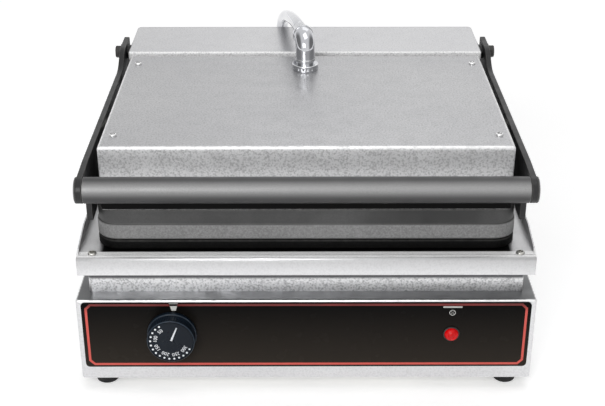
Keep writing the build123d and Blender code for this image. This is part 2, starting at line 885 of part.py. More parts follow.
with BuildPart() as cover_pillars:
    with BuildSketch(level(upper_back)):
        with Locations(*cover_spots):
            RegularPolygon(pillar_d / 2, 6)
    extrude(amount=lid_top - sheet - upper_back)
    with BuildSketch(level(lid_top - sheet)):
        with Locations(*cover_spots):
            Circle(cover_screw_d / 2 + running)
    extrude(amount=-3 * cover_screw_d, mode=Mode.SUBTRACT)
cover_pillars.part.label = "cover_pillars"
export_step(cover_pillars.part, "parts/cover_pillars.step")

with BuildPart() as cover_screws:
    with BuildSketch(level(lid_top)):
        with Locations(*cover_spots):
            Circle(cover_head_d / 2)
    extrude(amount=cover_head_h)
    fillet(cover_screws.faces().group_by(Axis.Z)[-1].edges(), cover_head_h / 2)
    with BuildSketch(level(lid_top)):
        with Locations(*cover_spots):
            Circle(cover_screw_d / 2)
    extrude(amount=-sheet - 2 * cover_screw_d)
cover_screws.part.label = "cover_screws"
export_step(cover_screws.part, "parts/cover_screws.step")

# Hangers: a bracket inside each side of the cover, with the bolt that the lid tilts on
bracket_out = min(cover_side - sheet, plate_w / 2 - band_step - upper_wall) - gap
with BuildPart() as hanger_brackets:
    for side in (-1, 1):
        near = bracket_out if side > 0 else -bracket_out
        with BuildSketch(across(near)):
            with BuildLine():
                Polyline(
                    (hanger_y - bracket_w / 2, upper_back),
                    (hanger_y - hanger_sleeve_d, hanger_z),
                    (hanger_y - hanger_sleeve_d, hanger_z + hanger_sleeve_d),
                    (hanger_y + hanger_sleeve_d, hanger_z + hanger_sleeve_d),
                    (hanger_y + hanger_sleeve_d, hanger_z),
                    (hanger_y + bracket_w / 2, upper_back),
                    close=True,
                )
            make_face()
            with Locations((hanger_y, hanger_z)):
                Circle(hanger_d / 2 + running, mode=Mode.SUBTRACT)
        extrude(amount=-side * bracket_t)
        with BuildSketch(level(upper_back)):
            with Locations((side * (bracket_out - bracket_foot / 2), hanger_y)):
                Rectangle(bracket_foot, bracket_w)
        extrude(amount=bracket_t)
hanger_brackets.part.label = "hanger_brackets"
export_step(hanger_brackets.part, "parts/hanger_brackets.step")

with BuildPart() as hanger_bolts:
    for side in (-1, 1):
        with BuildSketch(across(side * (arm_out + gap))):
            with Locations((hanger_y, hanger_z)):
                Circle(hanger_head_d / 2)
        extrude(amount=side * hanger_head_h)
        with BuildSketch(across(side * (arm_out + gap))):
            with Locations((hanger_y, hanger_z)):
                Circle(hanger_d / 2)
        extrude(amount=side * (bracket_out - bracket_t - hanger_tail - arm_out - gap))
    fillet(hanger_bolts.faces().sort_by(Axis.X)[0].edges(), hanger_head_h / 3)
    fillet(hanger_bolts.faces().sort_by(Axis.X)[-1].edges(), hanger_head_h / 3)
hanger_bolts.part.label = "hanger_bolts"
export_step(hanger_bolts.part, "parts/hanger_bolts.step")

with BuildPart() as hanger_spacers:
    for side in (-1, 1):
        with BuildSketch(across(side * cover_side)):
            with Locations((hanger_y, hanger_z)):
                Circle(hanger_sleeve_d / 2)
                Circle(hanger_d / 2 + running, mode=Mode.SUBTRACT)
        extrude(amount=side * (arm_in - gap - cover_side))
hanger_spacers.part.label = "hanger_spacers"
export_step(hanger_spacers.part, "parts/hanger_spacers.step")

# Arms, and the handle between them
grip_r = grip_d / 2
ear_y0 = hinge_y - ear_front
ear_y1 = hinge_y + ear_back
root_y = front_y + arm_root_setback
heel_y = front_y + arm_heel_setback


def arm(inner_face, thickness):
    """One flat arm, from its round eye at the handle to the ear at the hinge."""
    with BuildPart() as flat_arm:
        with BuildSketch(across(inner_face)):
            with BuildLine():
                Polyline(
                    (handle_y, handle_z + grip_r),
                    (heel_y, arm_top),
                    (root_y, arm_top),
                    (ear_y0, ear_top),
                    (ear_y1, ear_top),
                    (ear_y1, ear_foot),
                    (ear_y0 - arm_round, ear_foot - 2 * arm_round),
                    (hanger_y - hanger_sleeve_d, arm_heel + 2 * arm_round),
                    (heel_y + 3 * arm_round, arm_heel),
                    (heel_y, arm_heel),
                    (heel_y, handle_z - grip_r - arm_round),
                    (handle_y, handle_z - grip_r),
                    close=True,
                )
            make_face()
            with Locations((handle_y, handle_z)):
                Circle(grip_r)
                Circle(rod_d / 2 + running, mode=Mode.SUBTRACT)
            with Locations((hanger_y, hanger_z)):
                Circle(hanger_d / 2 + running, mode=Mode.SUBTRACT)
            with Locations((hinge_y, hinge_z)):
                Circle(shaft_d / 2 + running, mode=Mode.SUBTRACT)
        extrude(amount=thickness)
        corners = flat_arm.edges().filter_by(Axis.X).filter_by(GeomType.LINE)
        rounded = [e for e in corners if e.center().Y > heel_y - 1]
        fillet(rounded, arm_round / 2)
    return flat_arm.part


with BuildPart() as left_arm:
    add(arm(-arm_out, arm_t))
left_arm.part.label = "left_arm"
export_step(left_arm.part, "parts/left_arm.step")

with BuildPart() as right_arm:
    add(arm(arm_in, arm_t))
right_arm.part.label = "right_arm"
export_step(right_arm.part, "parts/right_arm.step")

with BuildPart() as handle_grip:
    with BuildSketch(across(-arm_in)):
        with Locations((handle_y, handle_z)):
            Circle(grip_r)
    extrude(amount=2 * arm_in)
    with BuildSketch(across(-arm_in)):
        with Locations((handle_y, handle_z)):
            Circle(rod_d / 2 + hole_play)
    extrude(amount=2 * arm_in, mode=Mode.SUBTRACT)
handle_grip.part.label = "handle_grip"
export_step(handle_grip.part, "parts/handle_grip.step")

with BuildPart() as handle_rod:
    with BuildSketch(across(-arm_out)):
        with Locations((handle_y, handle_z)):
            Circle(rod_d / 2)
    extrude(amount=2 * arm_out)
handle_rod.part.label = "handle_rod"
export_step(handle_rod.part, "parts/handle_rod.step")

with BuildPart() as handle_end_screws:
    for side in (-1, 1):
        with BuildSketch(across(side * arm_out)):
            with Locations((handle_y, handle_z)):
                Circle(grip_r)
        extrude(amount=side * end_screw_h)
    for face in (0, -1):
        fillet(handle_end_screws.faces().sort_by(Axis.X)[face].edges(), grip_round)
handle_end_screws.part.label = "handle_end_screws"
export_step(handle_end_screws.part, "parts/handle_end_screws.step")

# Rear housing with its back cover
housing_h = lid_top - deck_top
back_y = front_y + housing_setback + housing_d
window_w = housing_w - 2 * (sheet + back_flange)
window_h = housing_h - sheet - back_flange
back_spots = [
    (x, z)
    for x in (-window_w / 2 - back_flange / 2, 0, window_w / 2 + back_flange / 2)
    for z in (deck_top + back_flange, lid_top - sheet - back_flange / 2)
]
back_spots = [spot for spot in back_spots if spot[0] != 0 or spot[1] > deck_top + window_h]

with BuildPart() as rear_housing:
    with BuildSketch(level(deck_top)):
        with Locations((0, housing_y)):
            RectangleRounded(housing_w, housing_d, housing_corner)
    extrude(amount=housing_h)
    fillet(rear_housing.faces().sort_by(Axis.Z)[-1].edges(), housing_corner / 2)
    with BuildSketch(level(deck_top)):
        with Locations((0, housing_y)):
            Rectangle(housing_w - 2 * sheet, housing_d - 2 * sheet)
    extrude(amount=housing_h - sheet, mode=Mode.SUBTRACT)
    with BuildSketch(facing(back_y)):
        with Locations((0, deck_top + window_h / 2)):
            Rectangle(window_w, window_h)
        with Locations(*back_spots):
            Circle(cover_screw_d / 2 + hole_play)
    extrude(amount=sheet, mode=Mode.SUBTRACT)
    with BuildSketch(across(-housing_side)):
        with Locations((hinge_y, hinge_z)):
            Circle(shaft_d / 2 + gap)
    extrude(amount=housing_w, mode=Mode.SUBTRACT)
rear_housing.part.label = "rear_housing"
export_step(rear_housing.part, "parts/rear_housing.step")

with BuildPart() as rear_housing_back:
    with BuildSketch(facing(back_y)):
        with Locations((0, (deck_top + lid_top) / 2)):
            RectangleRounded(housing_w - 2 * gap, housing_h - 2 * gap, housing_corner)
        for x in fan(vent_columns, 2 * vent_w):
            with Locations(*[(x, housing_h / 2 + deck_top + z) for z in fan(vent_rows, vent_pitch)]):
                SlotOverall(vent_w, vent_h, mode=Mode.SUBTRACT)
        with Locations(*back_spots):
            Circle(cover_screw_d / 2 + hole_play, mode=Mode.SUBTRACT)
    extrude(amount=-sheet)
rear_housing_back.part.label = "rear_housing_back"
export_step(rear_housing_back.part, "parts/rear_housing_back.step")

with BuildPart() as rear_cover_screws:
    with BuildSketch(facing(back_y + sheet)):
        with Locations(*back_spots):
            Circle(cover_head_d / 2)
    extrude(amount=-cover_head_h)
    with BuildSketch(facing(back_y + sheet)):
        with Locations(*back_spots):
            Circle(cover_screw_d / 2)
    extrude(amount=2 * sheet + cover_screw_d)
rear_cover_screws.part.label = "rear_cover_screws"
export_step(rear_cover_screws.part, "parts/rear_cover_screws.step")

# Hinge: brackets inside the housing hold bushes, and the shaft turns in them with the arms
bracket_x = housing_side - sheet - gap
bracket_top = lid_top - sheet - gap
bush_r = shaft_d / 2 + running + bush_wall
with BuildPart() as hinge_brackets:
    for side in (-1, 1):
        with BuildSketch(across(side * bracket_x)):
            with Locations((housing_y, (deck_top + bracket_top) / 2)):
                Rectangle(hinge_bracket_d, bracket_top - deck_top)
            with Locations((hinge_y, hinge_z)):
                Circle(bush_r, mode=Mode.SUBTRACT)
        extrude(amount=-side * hinge_bracket_t)
        with BuildSketch(level(deck_top)):
            with Locations((side * (bracket_x - hinge_bracket_foot / 2), housing_y)):
                Rectangle(hinge_bracket_foot, hinge_bracket_d)
        extrude(amount=hinge_bracket_t)
hinge_brackets.part.label = "hinge_brackets"
export_step(hinge_brackets.part, "parts/hinge_brackets.step")

with BuildPart() as hinge_bushes:
    for side in (-1, 1):
        with BuildSketch(across(side * bracket_x)):
            with Locations((hinge_y, hinge_z)):
                Circle(bush_r)
        extrude(amount=-side * (hinge_bracket_t + bush_flange_t))
        with BuildSketch(across(side * (bracket_x - hinge_bracket_t))):
            with Locations((hinge_y, hinge_z)):
                Circle(bush_r + bush_flange_w)
        extrude(amount=-side * bush_flange_t)
        with BuildSketch(across(side * bracket_x)):
            with Locations((hinge_y, hinge_z)):
                Circle(shaft_d / 2 + running)
        extrude(amount=-side * (hinge_bracket_t + bush_flange_t), mode=Mode.SUBTRACT)
hinge_bushes.part.label = "hinge_bushes"
export_step(hinge_bushes.part, "parts/hinge_bushes.step")

shaft_end = arm_out + hinge_washer_t + hinge_nut_t - nut_overhang
with BuildPart() as hinge_shaft:
    with BuildSketch(across(-shaft_end)):
        with Locations((hinge_y, hinge_z)):
            Circle(shaft_d / 2)
    extrude(amount=2 * shaft_end)
hinge_shaft.part.label = "hinge_shaft"
export_step(hinge_shaft.part, "parts/hinge_shaft.step")

with BuildPart() as hinge_spacers:
    for side in (-1, 1):
        with BuildSketch(across(side * (housing_side + gap))):
            with Locations((hinge_y, hinge_z)):
                Circle(spacer_d / 2)
                Circle(shaft_d / 2 + running, mode=Mode.SUBTRACT)
        extrude(amount=side * (arm_in - housing_side - gap))
hinge_spacers.part.label = "hinge_spacers"
export_step(hinge_spacers.part, "parts/hinge_spacers.step")

with BuildPart() as hinge_washers:
    for side in (-1, 1):
        with BuildSketch(across(side * arm_out)):
            with Locations((hinge_y, hinge_z)):
                Circle(hinge_washer_d / 2)
                Circle(shaft_d / 2 + running, mode=Mode.SUBTRACT)
        extrude(amount=side * hinge_washer_t)
hinge_washers.part.label = "hinge_washers"
export_step(hinge_washers.part, "parts/hinge_washers.step")

with BuildPart() as hinge_nuts:
    for side in (-1, 1):
        with BuildSketch(across(side * (arm_out + hinge_washer_t))):
            with Locations((hinge_y, hinge_z)):
                RegularPolygon(hinge_nut_af / 2, 6, major_radius=False)
                Circle(shaft_d / 2 + running, mode=Mode.SUBTRACT)
        extrude(amount=side * hinge_nut_t)
hinge_nuts.part.label = "hinge_nuts"
export_step(hinge_nuts.part, "parts/hinge_nuts.step")

# Counterbalance: levers on the shaft pull on upright springs hooked to the deck
lever_y = hinge_y + lever_reach
lever_z = hinge_z - lever_drop
lever_end_r = lever_pin_d / 2 + lever_wall
spring_x = lever_x + lever_t / 2 + lever_pin_l / 2

with BuildPart() as spring_levers:
    for side in (-1, 1):
        with BuildSketch(across(side * lever_x - lever_t / 2)):
            with Locations((hinge_y, hinge_z)):
                Circle(lever_boss)
            with Locations((lever_y, lever_z)):
                Circle(lever_end_r)
            make_hull()
            with Locations((hinge_y, hinge_z)):
                Circle(shaft_d / 2 + running, mode=Mode.SUBTRACT)
        extrude(amount=lever_t)
        with BuildSketch(across(side * (lever_x + lever_t / 2))):
            with Locations((lever_y, lever_z)):
                Circle(lever_pin_d / 2)
        extrude(amount=side * lever_pin_l)
spring_levers.part.label = "spring_levers"
export_step(spring_levers.part, "parts/spring_levers.step")

with BuildPart() as spring_anchors:
    for side in (-1, 1):
        with BuildSketch(level(deck_top)):
            with Locations((side * lever_x - side * (anchor_foot - lever_t) / 2, lever_y)):
                Rectangle(anchor_foot, anchor_w)
        extrude(amount=anchor_t)
        with BuildSketch(across(side * lever_x - lever_t / 2)):
            with Locations((lever_y, (deck_top + spring_anchor_z + lever_end_r) / 2)):
                Rectangle(anchor_w, spring_anchor_z + lever_end_r - deck_top)
        extrude(amount=lever_t)
        with BuildSketch(across(side * (lever_x + lever_t / 2))):
            with Locations((lever_y, spring_anchor_z)):
                Circle(lever_pin_d / 2)
        extrude(amount=side * lever_pin_l)
spring_anchors.part.label = "spring_anchors"
export_step(spring_anchors.part, "parts/spring_anchors.step")

ring_r = lever_pin_d / 2 + gap + spring_wire / 2
spring_top = lever_z - spring_hook
spring_foot = spring_anchor_z + spring_hook
with BuildPart() as counterbalance_springs:
    for side in (-1, 1):
        spring_axis = side * spring_x
        with BuildSketch(level(spring_foot)):
            with Locations((spring_axis, lever_y)):
                Circle(spring_d / 2)
        extrude(amount=spring_top - spring_foot)
        with BuildSketch(level(spring_foot + spring_wire)):
            with Locations((spring_axis, lever_y)):
                Circle(spring_d / 2 - spring_wire)
        extrude(amount=spring_top - spring_foot - 2 * spring_wire, mode=Mode.SUBTRACT)
        # straight shanks that end in the hook rings on the two pins
        for z0, z1 in ((spring_top, lever_z - ring_r), (spring_anchor_z + ring_r, spring_foot)):
            with BuildSketch(level(z0)):
                with Locations((spring_axis, lever_y)):
                    Circle(spring_wire / 2)
            extrude(amount=z1 - z0)
        for z in (lever_z, spring_anchor_z):
            with Locations(Location((spring_axis, lever_y, z), (0, 90, 0))):
                Torus(ring_r, spring_wire / 2)
counterbalance_springs.part.label = "counterbalance_springs"
export_step(counterbalance_springs.part, "parts/counterbalance_springs.step")

# Conduit fittings: an elbow on the lid and its twin on the rear wall
turn = radians(lid_elbow_turn)
mouth_dir = Vector(-sin(turn), cos(turn), 0)
lid_elbow_z = lid_top + lid_elbow_rise
lid_mouth = Vector(0, conduit_y, lid_elbow_z) + mouth_dir * elbow_reach
rear_elbow_y = rear_wall_y + rear_elbow_rise
rear_mouth = Vector(rear_elbow_x, rear_elbow_y, rear_elbow_z + elbow_reach)


def elbow(plane, rise):
    """An elbow that stands up from its plane's origin along its local Y, with its mouth along X."""
    with BuildPart() as fitting:
        with BuildLine(plane) as path:
            FilletPolyline((0, 0), (0, rise), (elbow_reach, rise), radius=elbow_bend)
        start = Plane(path.line @ 0, z_dir=path.line % 0)
        with BuildSketch(start):
            Circle(elbow_neck_d / 2)
        sweep()
        # the wider sleeve over the bend and the mouth
        with BuildLine(plane) as sleeve_path:
            FilletPolyline(
                (0, elbow_nut_t + elbow_shoulder), (0, rise), (elbow_reach, rise), radius=elbow_bend
            )
        with BuildSketch(Plane(sleeve_path.line @ 0, z_dir=sleeve_path.line % 0)):
            Circle(elbow_d / 2)
        sweep()
        with BuildSketch(start):
            Circle(elbow_thread_d / 2)
        extrude(amount=-elbow_thread_l)
        with BuildLine(plane) as bore_path:
            FilletPolyline(
                (0, -elbow_thread_l), (0, rise), (elbow_reach, rise), radius=elbow_bend
            )
        with BuildSketch(Plane(bore_path.line @ 0, z_dir=bore_path.line % 0)):
            Circle(elbow_bore / 2)
        sweep(mode=Mode.SUBTRACT)
    return fitting.part


def nut_pair(base_plane, depth):
    """The outer nut on a wall and the locknut behind it, on the same thread."""
    with BuildPart() as nuts:
        with BuildSketch(base_plane):
            Circle(elbow_nut_d / 2)
            Circle(elbow_neck_d / 2 + running, mode=Mode.SUBTRACT)
        extrude(amount=elbow_nut_t)
        with BuildSketch(base_plane.offset(-depth)):
            RegularPolygon(locknut_d / 2, 6)
            Circle(elbow_thread_d / 2 + running, mode=Mode.SUBTRACT)
        extrude(amount=-locknut_t)
    return nuts.part


lid_elbow_plane = Plane(
    (0, conduit_y, lid_top), x_dir=mouth_dir, z_dir=mouth_dir.cross(Vector(0, 0, 1))
)
rear_elbow_plane = Plane((rear_elbow_x, rear_wall_y, rear_elbow_z), x_dir=(0, 0, 1), z_dir=(-1, 0, 0))

with BuildPart() as lid_elbow:
    add(elbow(lid_elbow_plane, lid_elbow_rise))
lid_elbow.part.label = "lid_elbow"
export_step(lid_elbow.part, "parts/lid_elbow.step")

with BuildPart() as lid_elbow_nuts:
    add(nut_pair(Plane((0, conduit_y, lid_top)), sheet))
lid_elbow_nuts.part.label = "lid_elbow_nuts"
export_step(lid_elbow_nuts.part, "parts/lid_elbow_nuts.step")

with BuildPart() as rear_elbow:
    add(elbow(rear_elbow_plane, rear_elbow_rise))
rear_elbow.part.label = "rear_elbow"
export_step(rear_elbow.part, "parts/rear_elbow.step")

rear_nut_plane = Plane((rear_elbow_x, rear_wall_y, rear_elbow_z), x_dir=(1, 0, 0), z_dir=(0, 1, 0))
with BuildPart() as rear_elbow_nuts:
    add(nut_pair(rear_nut_plane, sheet))
rear_elbow_nuts.part.label = "rear_elbow_nuts"
export_step(rear_elbow_nuts.part, "parts/rear_elbow_nuts.step")

# Conduit: it leaves the lid's elbow, arches over the housing and drops to the rear elbow.
# It is made in two stretches that meet face to face. Y is counted from the panel's wall.
joint_reach = 20
first_run = 34
last_run = 40
conduit_joint = lid_mouth + mouth_dir * joint_reach
conduit_route = [
    (-15, 308, 275.5),
    (-21, 341, 267.5),
    (-25, 369, 254),
    (-27, 385, 228),
    (-27.5, 388, 188),
]


def corner_radii(points):
    """The largest arc that each corner's two runs allow, as 0.45 of the shorter run."""
    radii = []
    for a, b, c in zip(points, points[1:], points[2:]):
        before = b - a
        after = c - b
        half_turn = radians(before.get_angle(after)) / 2
        radii.append(0.45 * min(before.length, after.length) / tan(half_turn))
    return radii


def hose(points, radii):
    """A tube with its bore along straight runs joined by tangent arcs."""
    with BuildPart() as tube:
        with BuildLine() as path:
            if radii:
                FilletPolyline(*points, radius=radii)
            else:
                Line(*points)
        with BuildSketch(Plane(path.line @ 0, z_dir=path.line % 0)):
            Circle(conduit_d / 2)
            Circle(conduit_bore / 2, mode=Mode.SUBTRACT)
        sweep()
    return tube.part


rear_points = [conduit_joint, lid_mouth + mouth_dir * first_run]
rear_points += [Vector(x, front_y + y, z) for x, y, z in conduit_route]
rear_points += [rear_mouth + Vector(0, 0, last_run), rear_mouth]

with BuildPart() as conduit_front:
    add(hose([lid_mouth, conduit_joint], []))
conduit_front.part.label = "conduit_front"
export_step(conduit_front.part, "parts/conduit_front.step")

with BuildPart() as conduit_rear:
    add(hose(rear_points, corner_radii(rear_points)))
conduit_rear.part.label = "conduit_rear"
export_step(conduit_rear.part, "parts/conduit_rear.step")

# Mains inlet gland and terminal block
with BuildPart() as mains_gland:
    with BuildSketch(facing(rear_wall_y)):
        with Locations((gland_x, gland_z)):
            RegularPolygon(gland_d / 2, 6)
    extrude(amount=-gland_l / 2)
    with BuildSketch(facing(rear_wall_y + gland_l / 2)):
        with Locations((gland_x, gland_z)):
            Circle(gland_d / 2 - gland_step)
    extrude(amount=-gland_l / 2)
    fillet(mains_gland.faces().sort_by(Axis.Y)[-1].edges(), gland_step)
    with BuildSketch(facing(rear_wall_y)):
        with Locations((gland_x, gland_z)):
            Circle(elbow_thread_d / 2)
    extrude(amount=sheet + locknut_t)
    with BuildSketch(facing(rear_wall_y - sheet)):
        with Locations((gland_x, gland_z)):
            RegularPolygon(gland_d / 2, 6)
    extrude(amount=locknut_t)
    with BuildSketch(facing(rear_wall_y + gland_l)):
        with Locations((gland_x, gland_z)):
            Circle(gland_bore / 2)
    extrude(amount=gland_l + sheet + locknut_t, mode=Mode.SUBTRACT)
mains_gland.part.label = "mains_gland"
export_step(mains_gland.part, "parts/mains_gland.step")

terminal_y = rear_wall_y - sheet - 3 * terminal_d
with BuildPart() as terminal_block:
    with BuildSketch(level(foot_h + sheet)):
        with Locations((terminal_x, terminal_y)):
            Rectangle(terminal_w, terminal_d)
    extrude(amount=terminal_h)
    with BuildSketch(facing(terminal_y - terminal_d / 2)):
        way_z = foot_h + sheet + terminal_h / 3
        with Locations(*[(terminal_x + x, way_z) for x in fan(terminal_ways, terminal_pitch)]):
            Circle(terminal_hole_r)
    extrude(amount=-terminal_d, mode=Mode.SUBTRACT)
terminal_block.part.label = "terminal_block"
export_step(terminal_block.part, "parts/terminal_block.step")
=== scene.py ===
import json
import logging
import math
from collections.abc import Sequence
from dataclasses import dataclass, field
from enum import Enum
from functools import lru_cache

import bpy
import numpy as np
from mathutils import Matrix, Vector


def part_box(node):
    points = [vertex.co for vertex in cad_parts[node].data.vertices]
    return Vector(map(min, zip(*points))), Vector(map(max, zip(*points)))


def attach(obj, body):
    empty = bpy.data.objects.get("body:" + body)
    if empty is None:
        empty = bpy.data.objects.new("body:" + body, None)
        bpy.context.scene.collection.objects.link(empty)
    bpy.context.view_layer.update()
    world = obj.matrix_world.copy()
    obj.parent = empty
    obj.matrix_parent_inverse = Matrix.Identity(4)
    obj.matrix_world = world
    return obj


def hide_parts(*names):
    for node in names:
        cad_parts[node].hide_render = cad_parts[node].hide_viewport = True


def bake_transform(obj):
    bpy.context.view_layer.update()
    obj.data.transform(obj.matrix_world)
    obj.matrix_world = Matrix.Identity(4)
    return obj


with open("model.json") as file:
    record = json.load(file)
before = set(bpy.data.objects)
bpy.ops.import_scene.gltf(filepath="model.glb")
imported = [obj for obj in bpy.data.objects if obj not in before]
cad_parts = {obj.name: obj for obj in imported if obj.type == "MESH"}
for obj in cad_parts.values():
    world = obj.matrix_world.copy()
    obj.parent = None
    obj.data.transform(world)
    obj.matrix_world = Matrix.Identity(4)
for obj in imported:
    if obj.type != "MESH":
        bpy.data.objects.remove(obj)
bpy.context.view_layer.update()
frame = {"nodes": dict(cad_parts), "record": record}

# The looks of a countertop contact grill: satin steel casings, cast plates, black arms with a
# round handle, a control panel with a dial and a lamp, and a chrome conduit over the top.
# Every length is in metres. +Z is up, and the user stands on the -Y side.
MM = 0.001
# The distance from a rounded corner to the point that keeps the flat beside it flat when shaded
HOLD = 0.3 * MM
# Faces that meet at more than this angle are shaded apart
SHARP_EDGE = math.radians(40)
# The least length that a direction is divided by
TINY = 1e-12
log = logging.getLogger("contact_grill")

Array = np.ndarray
Colour = tuple[int, int, int]
Triple = tuple[float, float, float]
Span = tuple[float, float]
Socket = bpy.types.NodeSocket


class Facing(Enum):
    """Which way a flat outline looks, as the directions of its right, its up and its outside."""

    UP = ((1, 0, 0), (0, 1, 0), (0, 0, 1))
    DOWN = ((1, 0, 0), (0, -1, 0), (0, 0, -1))
    FRONT = ((1, 0, 0), (0, 0, 1), (0, -1, 0))
    REAR = ((-1, 0, 0), (0, 0, 1), (0, 1, 0))
    RIGHT = ((0, 1, 0), (0, 0, 1), (1, 0, 0))
    LEFT = ((0, -1, 0), (0, 0, 1), (-1, 0, 0))


@dataclass(frozen=True)
class Box:
    """The box round a CAD node at rest, by its lowest and its highest corner."""

    low: Array
    high: Array

    @classmethod
    def of(cls, node: str) -> "Box":
        """The box round the CAD node of that name."""
        low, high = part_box(node)
        return cls(np.array(low), np.array(high))

    @property
    def middle(self) -> Array:
        """Its middle."""
        return (self.low + self.high) / 2

    @property
    def size(self) -> Array:
        """Its width, depth and height."""
        return self.high - self.low

    @property
    def stand(self) -> Triple:
        """The place at height zero under its middle."""
        return (self.middle[0], self.middle[1], 0)

    def four(self, inset: float) -> list[Span]:
        """The four places, X and Y, that lie inset from its upright edges.

        Args:
            inset: how far in they lie along each axis.

        Returns:
            The two on the left and then the two on the right, each from front to back.
        """
        across = (self.low[0] + inset, self.high[0] - inset)
        along = (self.low[1] + inset, self.high[1] - inset)
        return [(x, y) for x in across for y in along]

    def ends(self, rise: float) -> list[tuple[Facing, Triple]]:
        """The seats of two pieces that look outwards and end at its right and left side.

        Args:
            rise: the height of each piece.

        Returns:
            For the right and then the left one, which way it looks and the middle of its seat.
        """
        _, y, z = self.middle
        return [(Facing.RIGHT, (self.high[0] - rise, y, z)), (Facing.LEFT, (self.low[0] + rise, y, z))]


# Outlines and profiles, as whole arrays


def unit(vectors: Array) -> Array:
    """Vectors along the last axis, scaled to a length of one."""
    return vectors / np.maximum(np.linalg.norm(vectors, axis=-1, keepdims=True), TINY)


def travel(line: Array) -> Array:
    """How far along a line each of its points lies."""
    return np.concatenate([[0], np.cumsum(np.linalg.norm(np.diff(line, axis=0), axis=1))])


def soften(corners: Sequence, radii: float | Sequence[float], steps: int = 5) -> tuple[Array, Array]:
    """An open profile with each inner corner rounded.

    A corner c with neighbours a and b becomes the quadratic curve (1-t)^2 p + 2t(1-t) c + t^2 q,
    where p and q lie one radius from c towards a and b. A point just before p and one just after
    q keep the flat stretches flat when they are shaded.

    Args:
        corners: the profile's corner points, two or three numbers each.
        radii: one radius for all the inner corners, or one for each.
        steps: the pieces in each rounded corner.

    Returns:
        The profile's points, and for each the edge wear, from 0 on a flat to 1 mid corner.
    """
    corners = np.asarray(corners, float)
    middle = corners[1:-1]
    reach = np.broadcast_to(radii, len(middle)).astype(float)[:, None]
    back = unit(corners[:-2] - middle)
    ahead = unit(corners[2:] - middle)
    start = (middle + back * reach)[:, None]
    end = (middle + ahead * reach)[:, None]
    t = np.linspace(0, 1, steps + 1)[None, :, None]
    arc = (1 - t) ** 2 * start + 2 * t * (1 - t) * middle[:, None] + t**2 * end
    lead = start + back[:, None] * HOLD
    tail = end + ahead[:, None] * HOLD
    points = np.concatenate([lead, arc, tail], axis=1).reshape(-1, corners.shape[1])
    wear_and_light = np.sin(np.pi * np.concatenate([[0], t.ravel(), [1]]))
    wear = np.tile(wear_and_light, len(middle))
    return (
        np.concatenate([corners[:1], points, corners[-1:]]),
        np.concatenate([[0], wear, [0]]),
    )


def round_rect(width: float, depth: float, radius: float, steps: int = 6) -> Array:
    """A rounded rectangle about zero, as four quarter circles joined by straight sides.

    Args:
        width: its whole size along the first axis.
        depth: its whole size along the second axis.
        radius: the corners' radius.
        steps: the pieces in each quarter circle.

    Returns:
        Its points, counter-clockwise, as many whatever its size.
    """
    turn = np.linspace(0, np.pi / 2, steps + 1)
    quarter = np.arange(4)[:, None] * np.pi / 2 + turn[None]
    side = np.array([[1, 1], [-1, 1], [-1, -1], [1, -1]])[:, None]
    centre = side * np.array([width / 2 - radius, depth / 2 - radius])
    arc = radius * np.stack([np.cos(quarter), np.sin(quarter)], axis=-1)
    return (centre + arc).reshape(-1, 2)


def circle(radius: float, sides: int, lobes: int = 0, depth: float = 0.0) -> Array:
    """A circle whose radius falls by depth in each of its lobes, as |sin| of half the lobe angle.

    Args:
        radius: the circle's radius.
        sides: how many points it has.
        lobes: how many flutes run round it.
        depth: how deep each flute is.

    Returns:
        Its points, counter-clockwise.
    """
    turn = np.linspace(0, 2 * np.pi, sides, endpoint=False)
    reach = radius - depth * (1 - np.abs(np.sin(turn * lobes / 2)))
    return reach[:, None] * np.stack([np.cos(turn), np.sin(turn)], axis=-1)


def hexagon(across: float, sides: int = 48) -> Array:
    """A hexagon, as radius = apothem / cos(angle to the nearest flat's middle).

    Args:
        across: its size across the flats.
        sides: how many points it has.

    Returns:
        Its points, counter-clockwise.
    """
    turn = np.linspace(0, 2 * np.pi, sides, endpoint=False)
    off_flat = (turn + np.pi / 6) % (np.pi / 3) - np.pi / 6
    reach = across / 2 / np.cos(off_flat)
    return reach[:, None] * np.stack([np.cos(turn), np.sin(turn)], axis=-1)


def shrunk(outline: Array, inset: float) -> Array:
    """A closed outline moved inwards: each point goes along the mean normal of its two edges.

    Args:
        outline: its points, counter-clockwise.
        inset: how far each edge moves.

    Returns:
        As many points.
    """
    least_lean = 0.4
    before = unit(outline - np.roll(outline, 1, axis=0))
    after = unit(np.roll(outline, -1, axis=0) - outline)
    normals = np.stack([before, after])[..., ::-1] * np.array([1, -1])
    mean = unit(normals.sum(axis=0))
    lean = np.maximum((mean * normals[0]).sum(axis=1, keepdims=True), least_lean)
    return outline - mean * inset / lean


def raised(outlines: Array, heights: Array) -> Array:
    """Flat outlines with a height for each, as rings of three-number points."""
    height = np.broadcast_to(np.asarray(heights)[:, None, None], (*outlines.shape[:2], 1))
    return np.concatenate([outlines, height], axis=2)


def rect_stack(width: float, depth: float, radius: float, profile: Array) -> Array:
    """Rounded rectangles stacked along a profile.

    Args:
        width: the size along the first axis where the inset is zero.
        depth: the size along the second axis there.
        radius: the corner radius there, which shrinks with the inset.
        profile: points of (inset, height).

    Returns:
        Rings of points, one ring for each point of the profile.
    """
    least = 0.4 * MM
    rings = [round_rect(width - 2 * i, depth - 2 * i, max(radius - i, least)) for i, _ in profile]
    return raised(np.array(rings), profile[:, 1])


def turned(profile: Array, sides: int = 48) -> Array:
    """A shape turned on a lathe: circles stacked along a profile of (radius, height)."""
    return raised(np.array([circle(radius, sides) for radius, _ in profile]), profile[:, 1])


def placed(rings: Array, facing: Facing, origin: Sequence[float]) -> Array:
    """Points put in the frame, as origin + right * u + up * v + outside * w."""
    return np.asarray(origin, float) + rings @ np.array(facing.value, float)


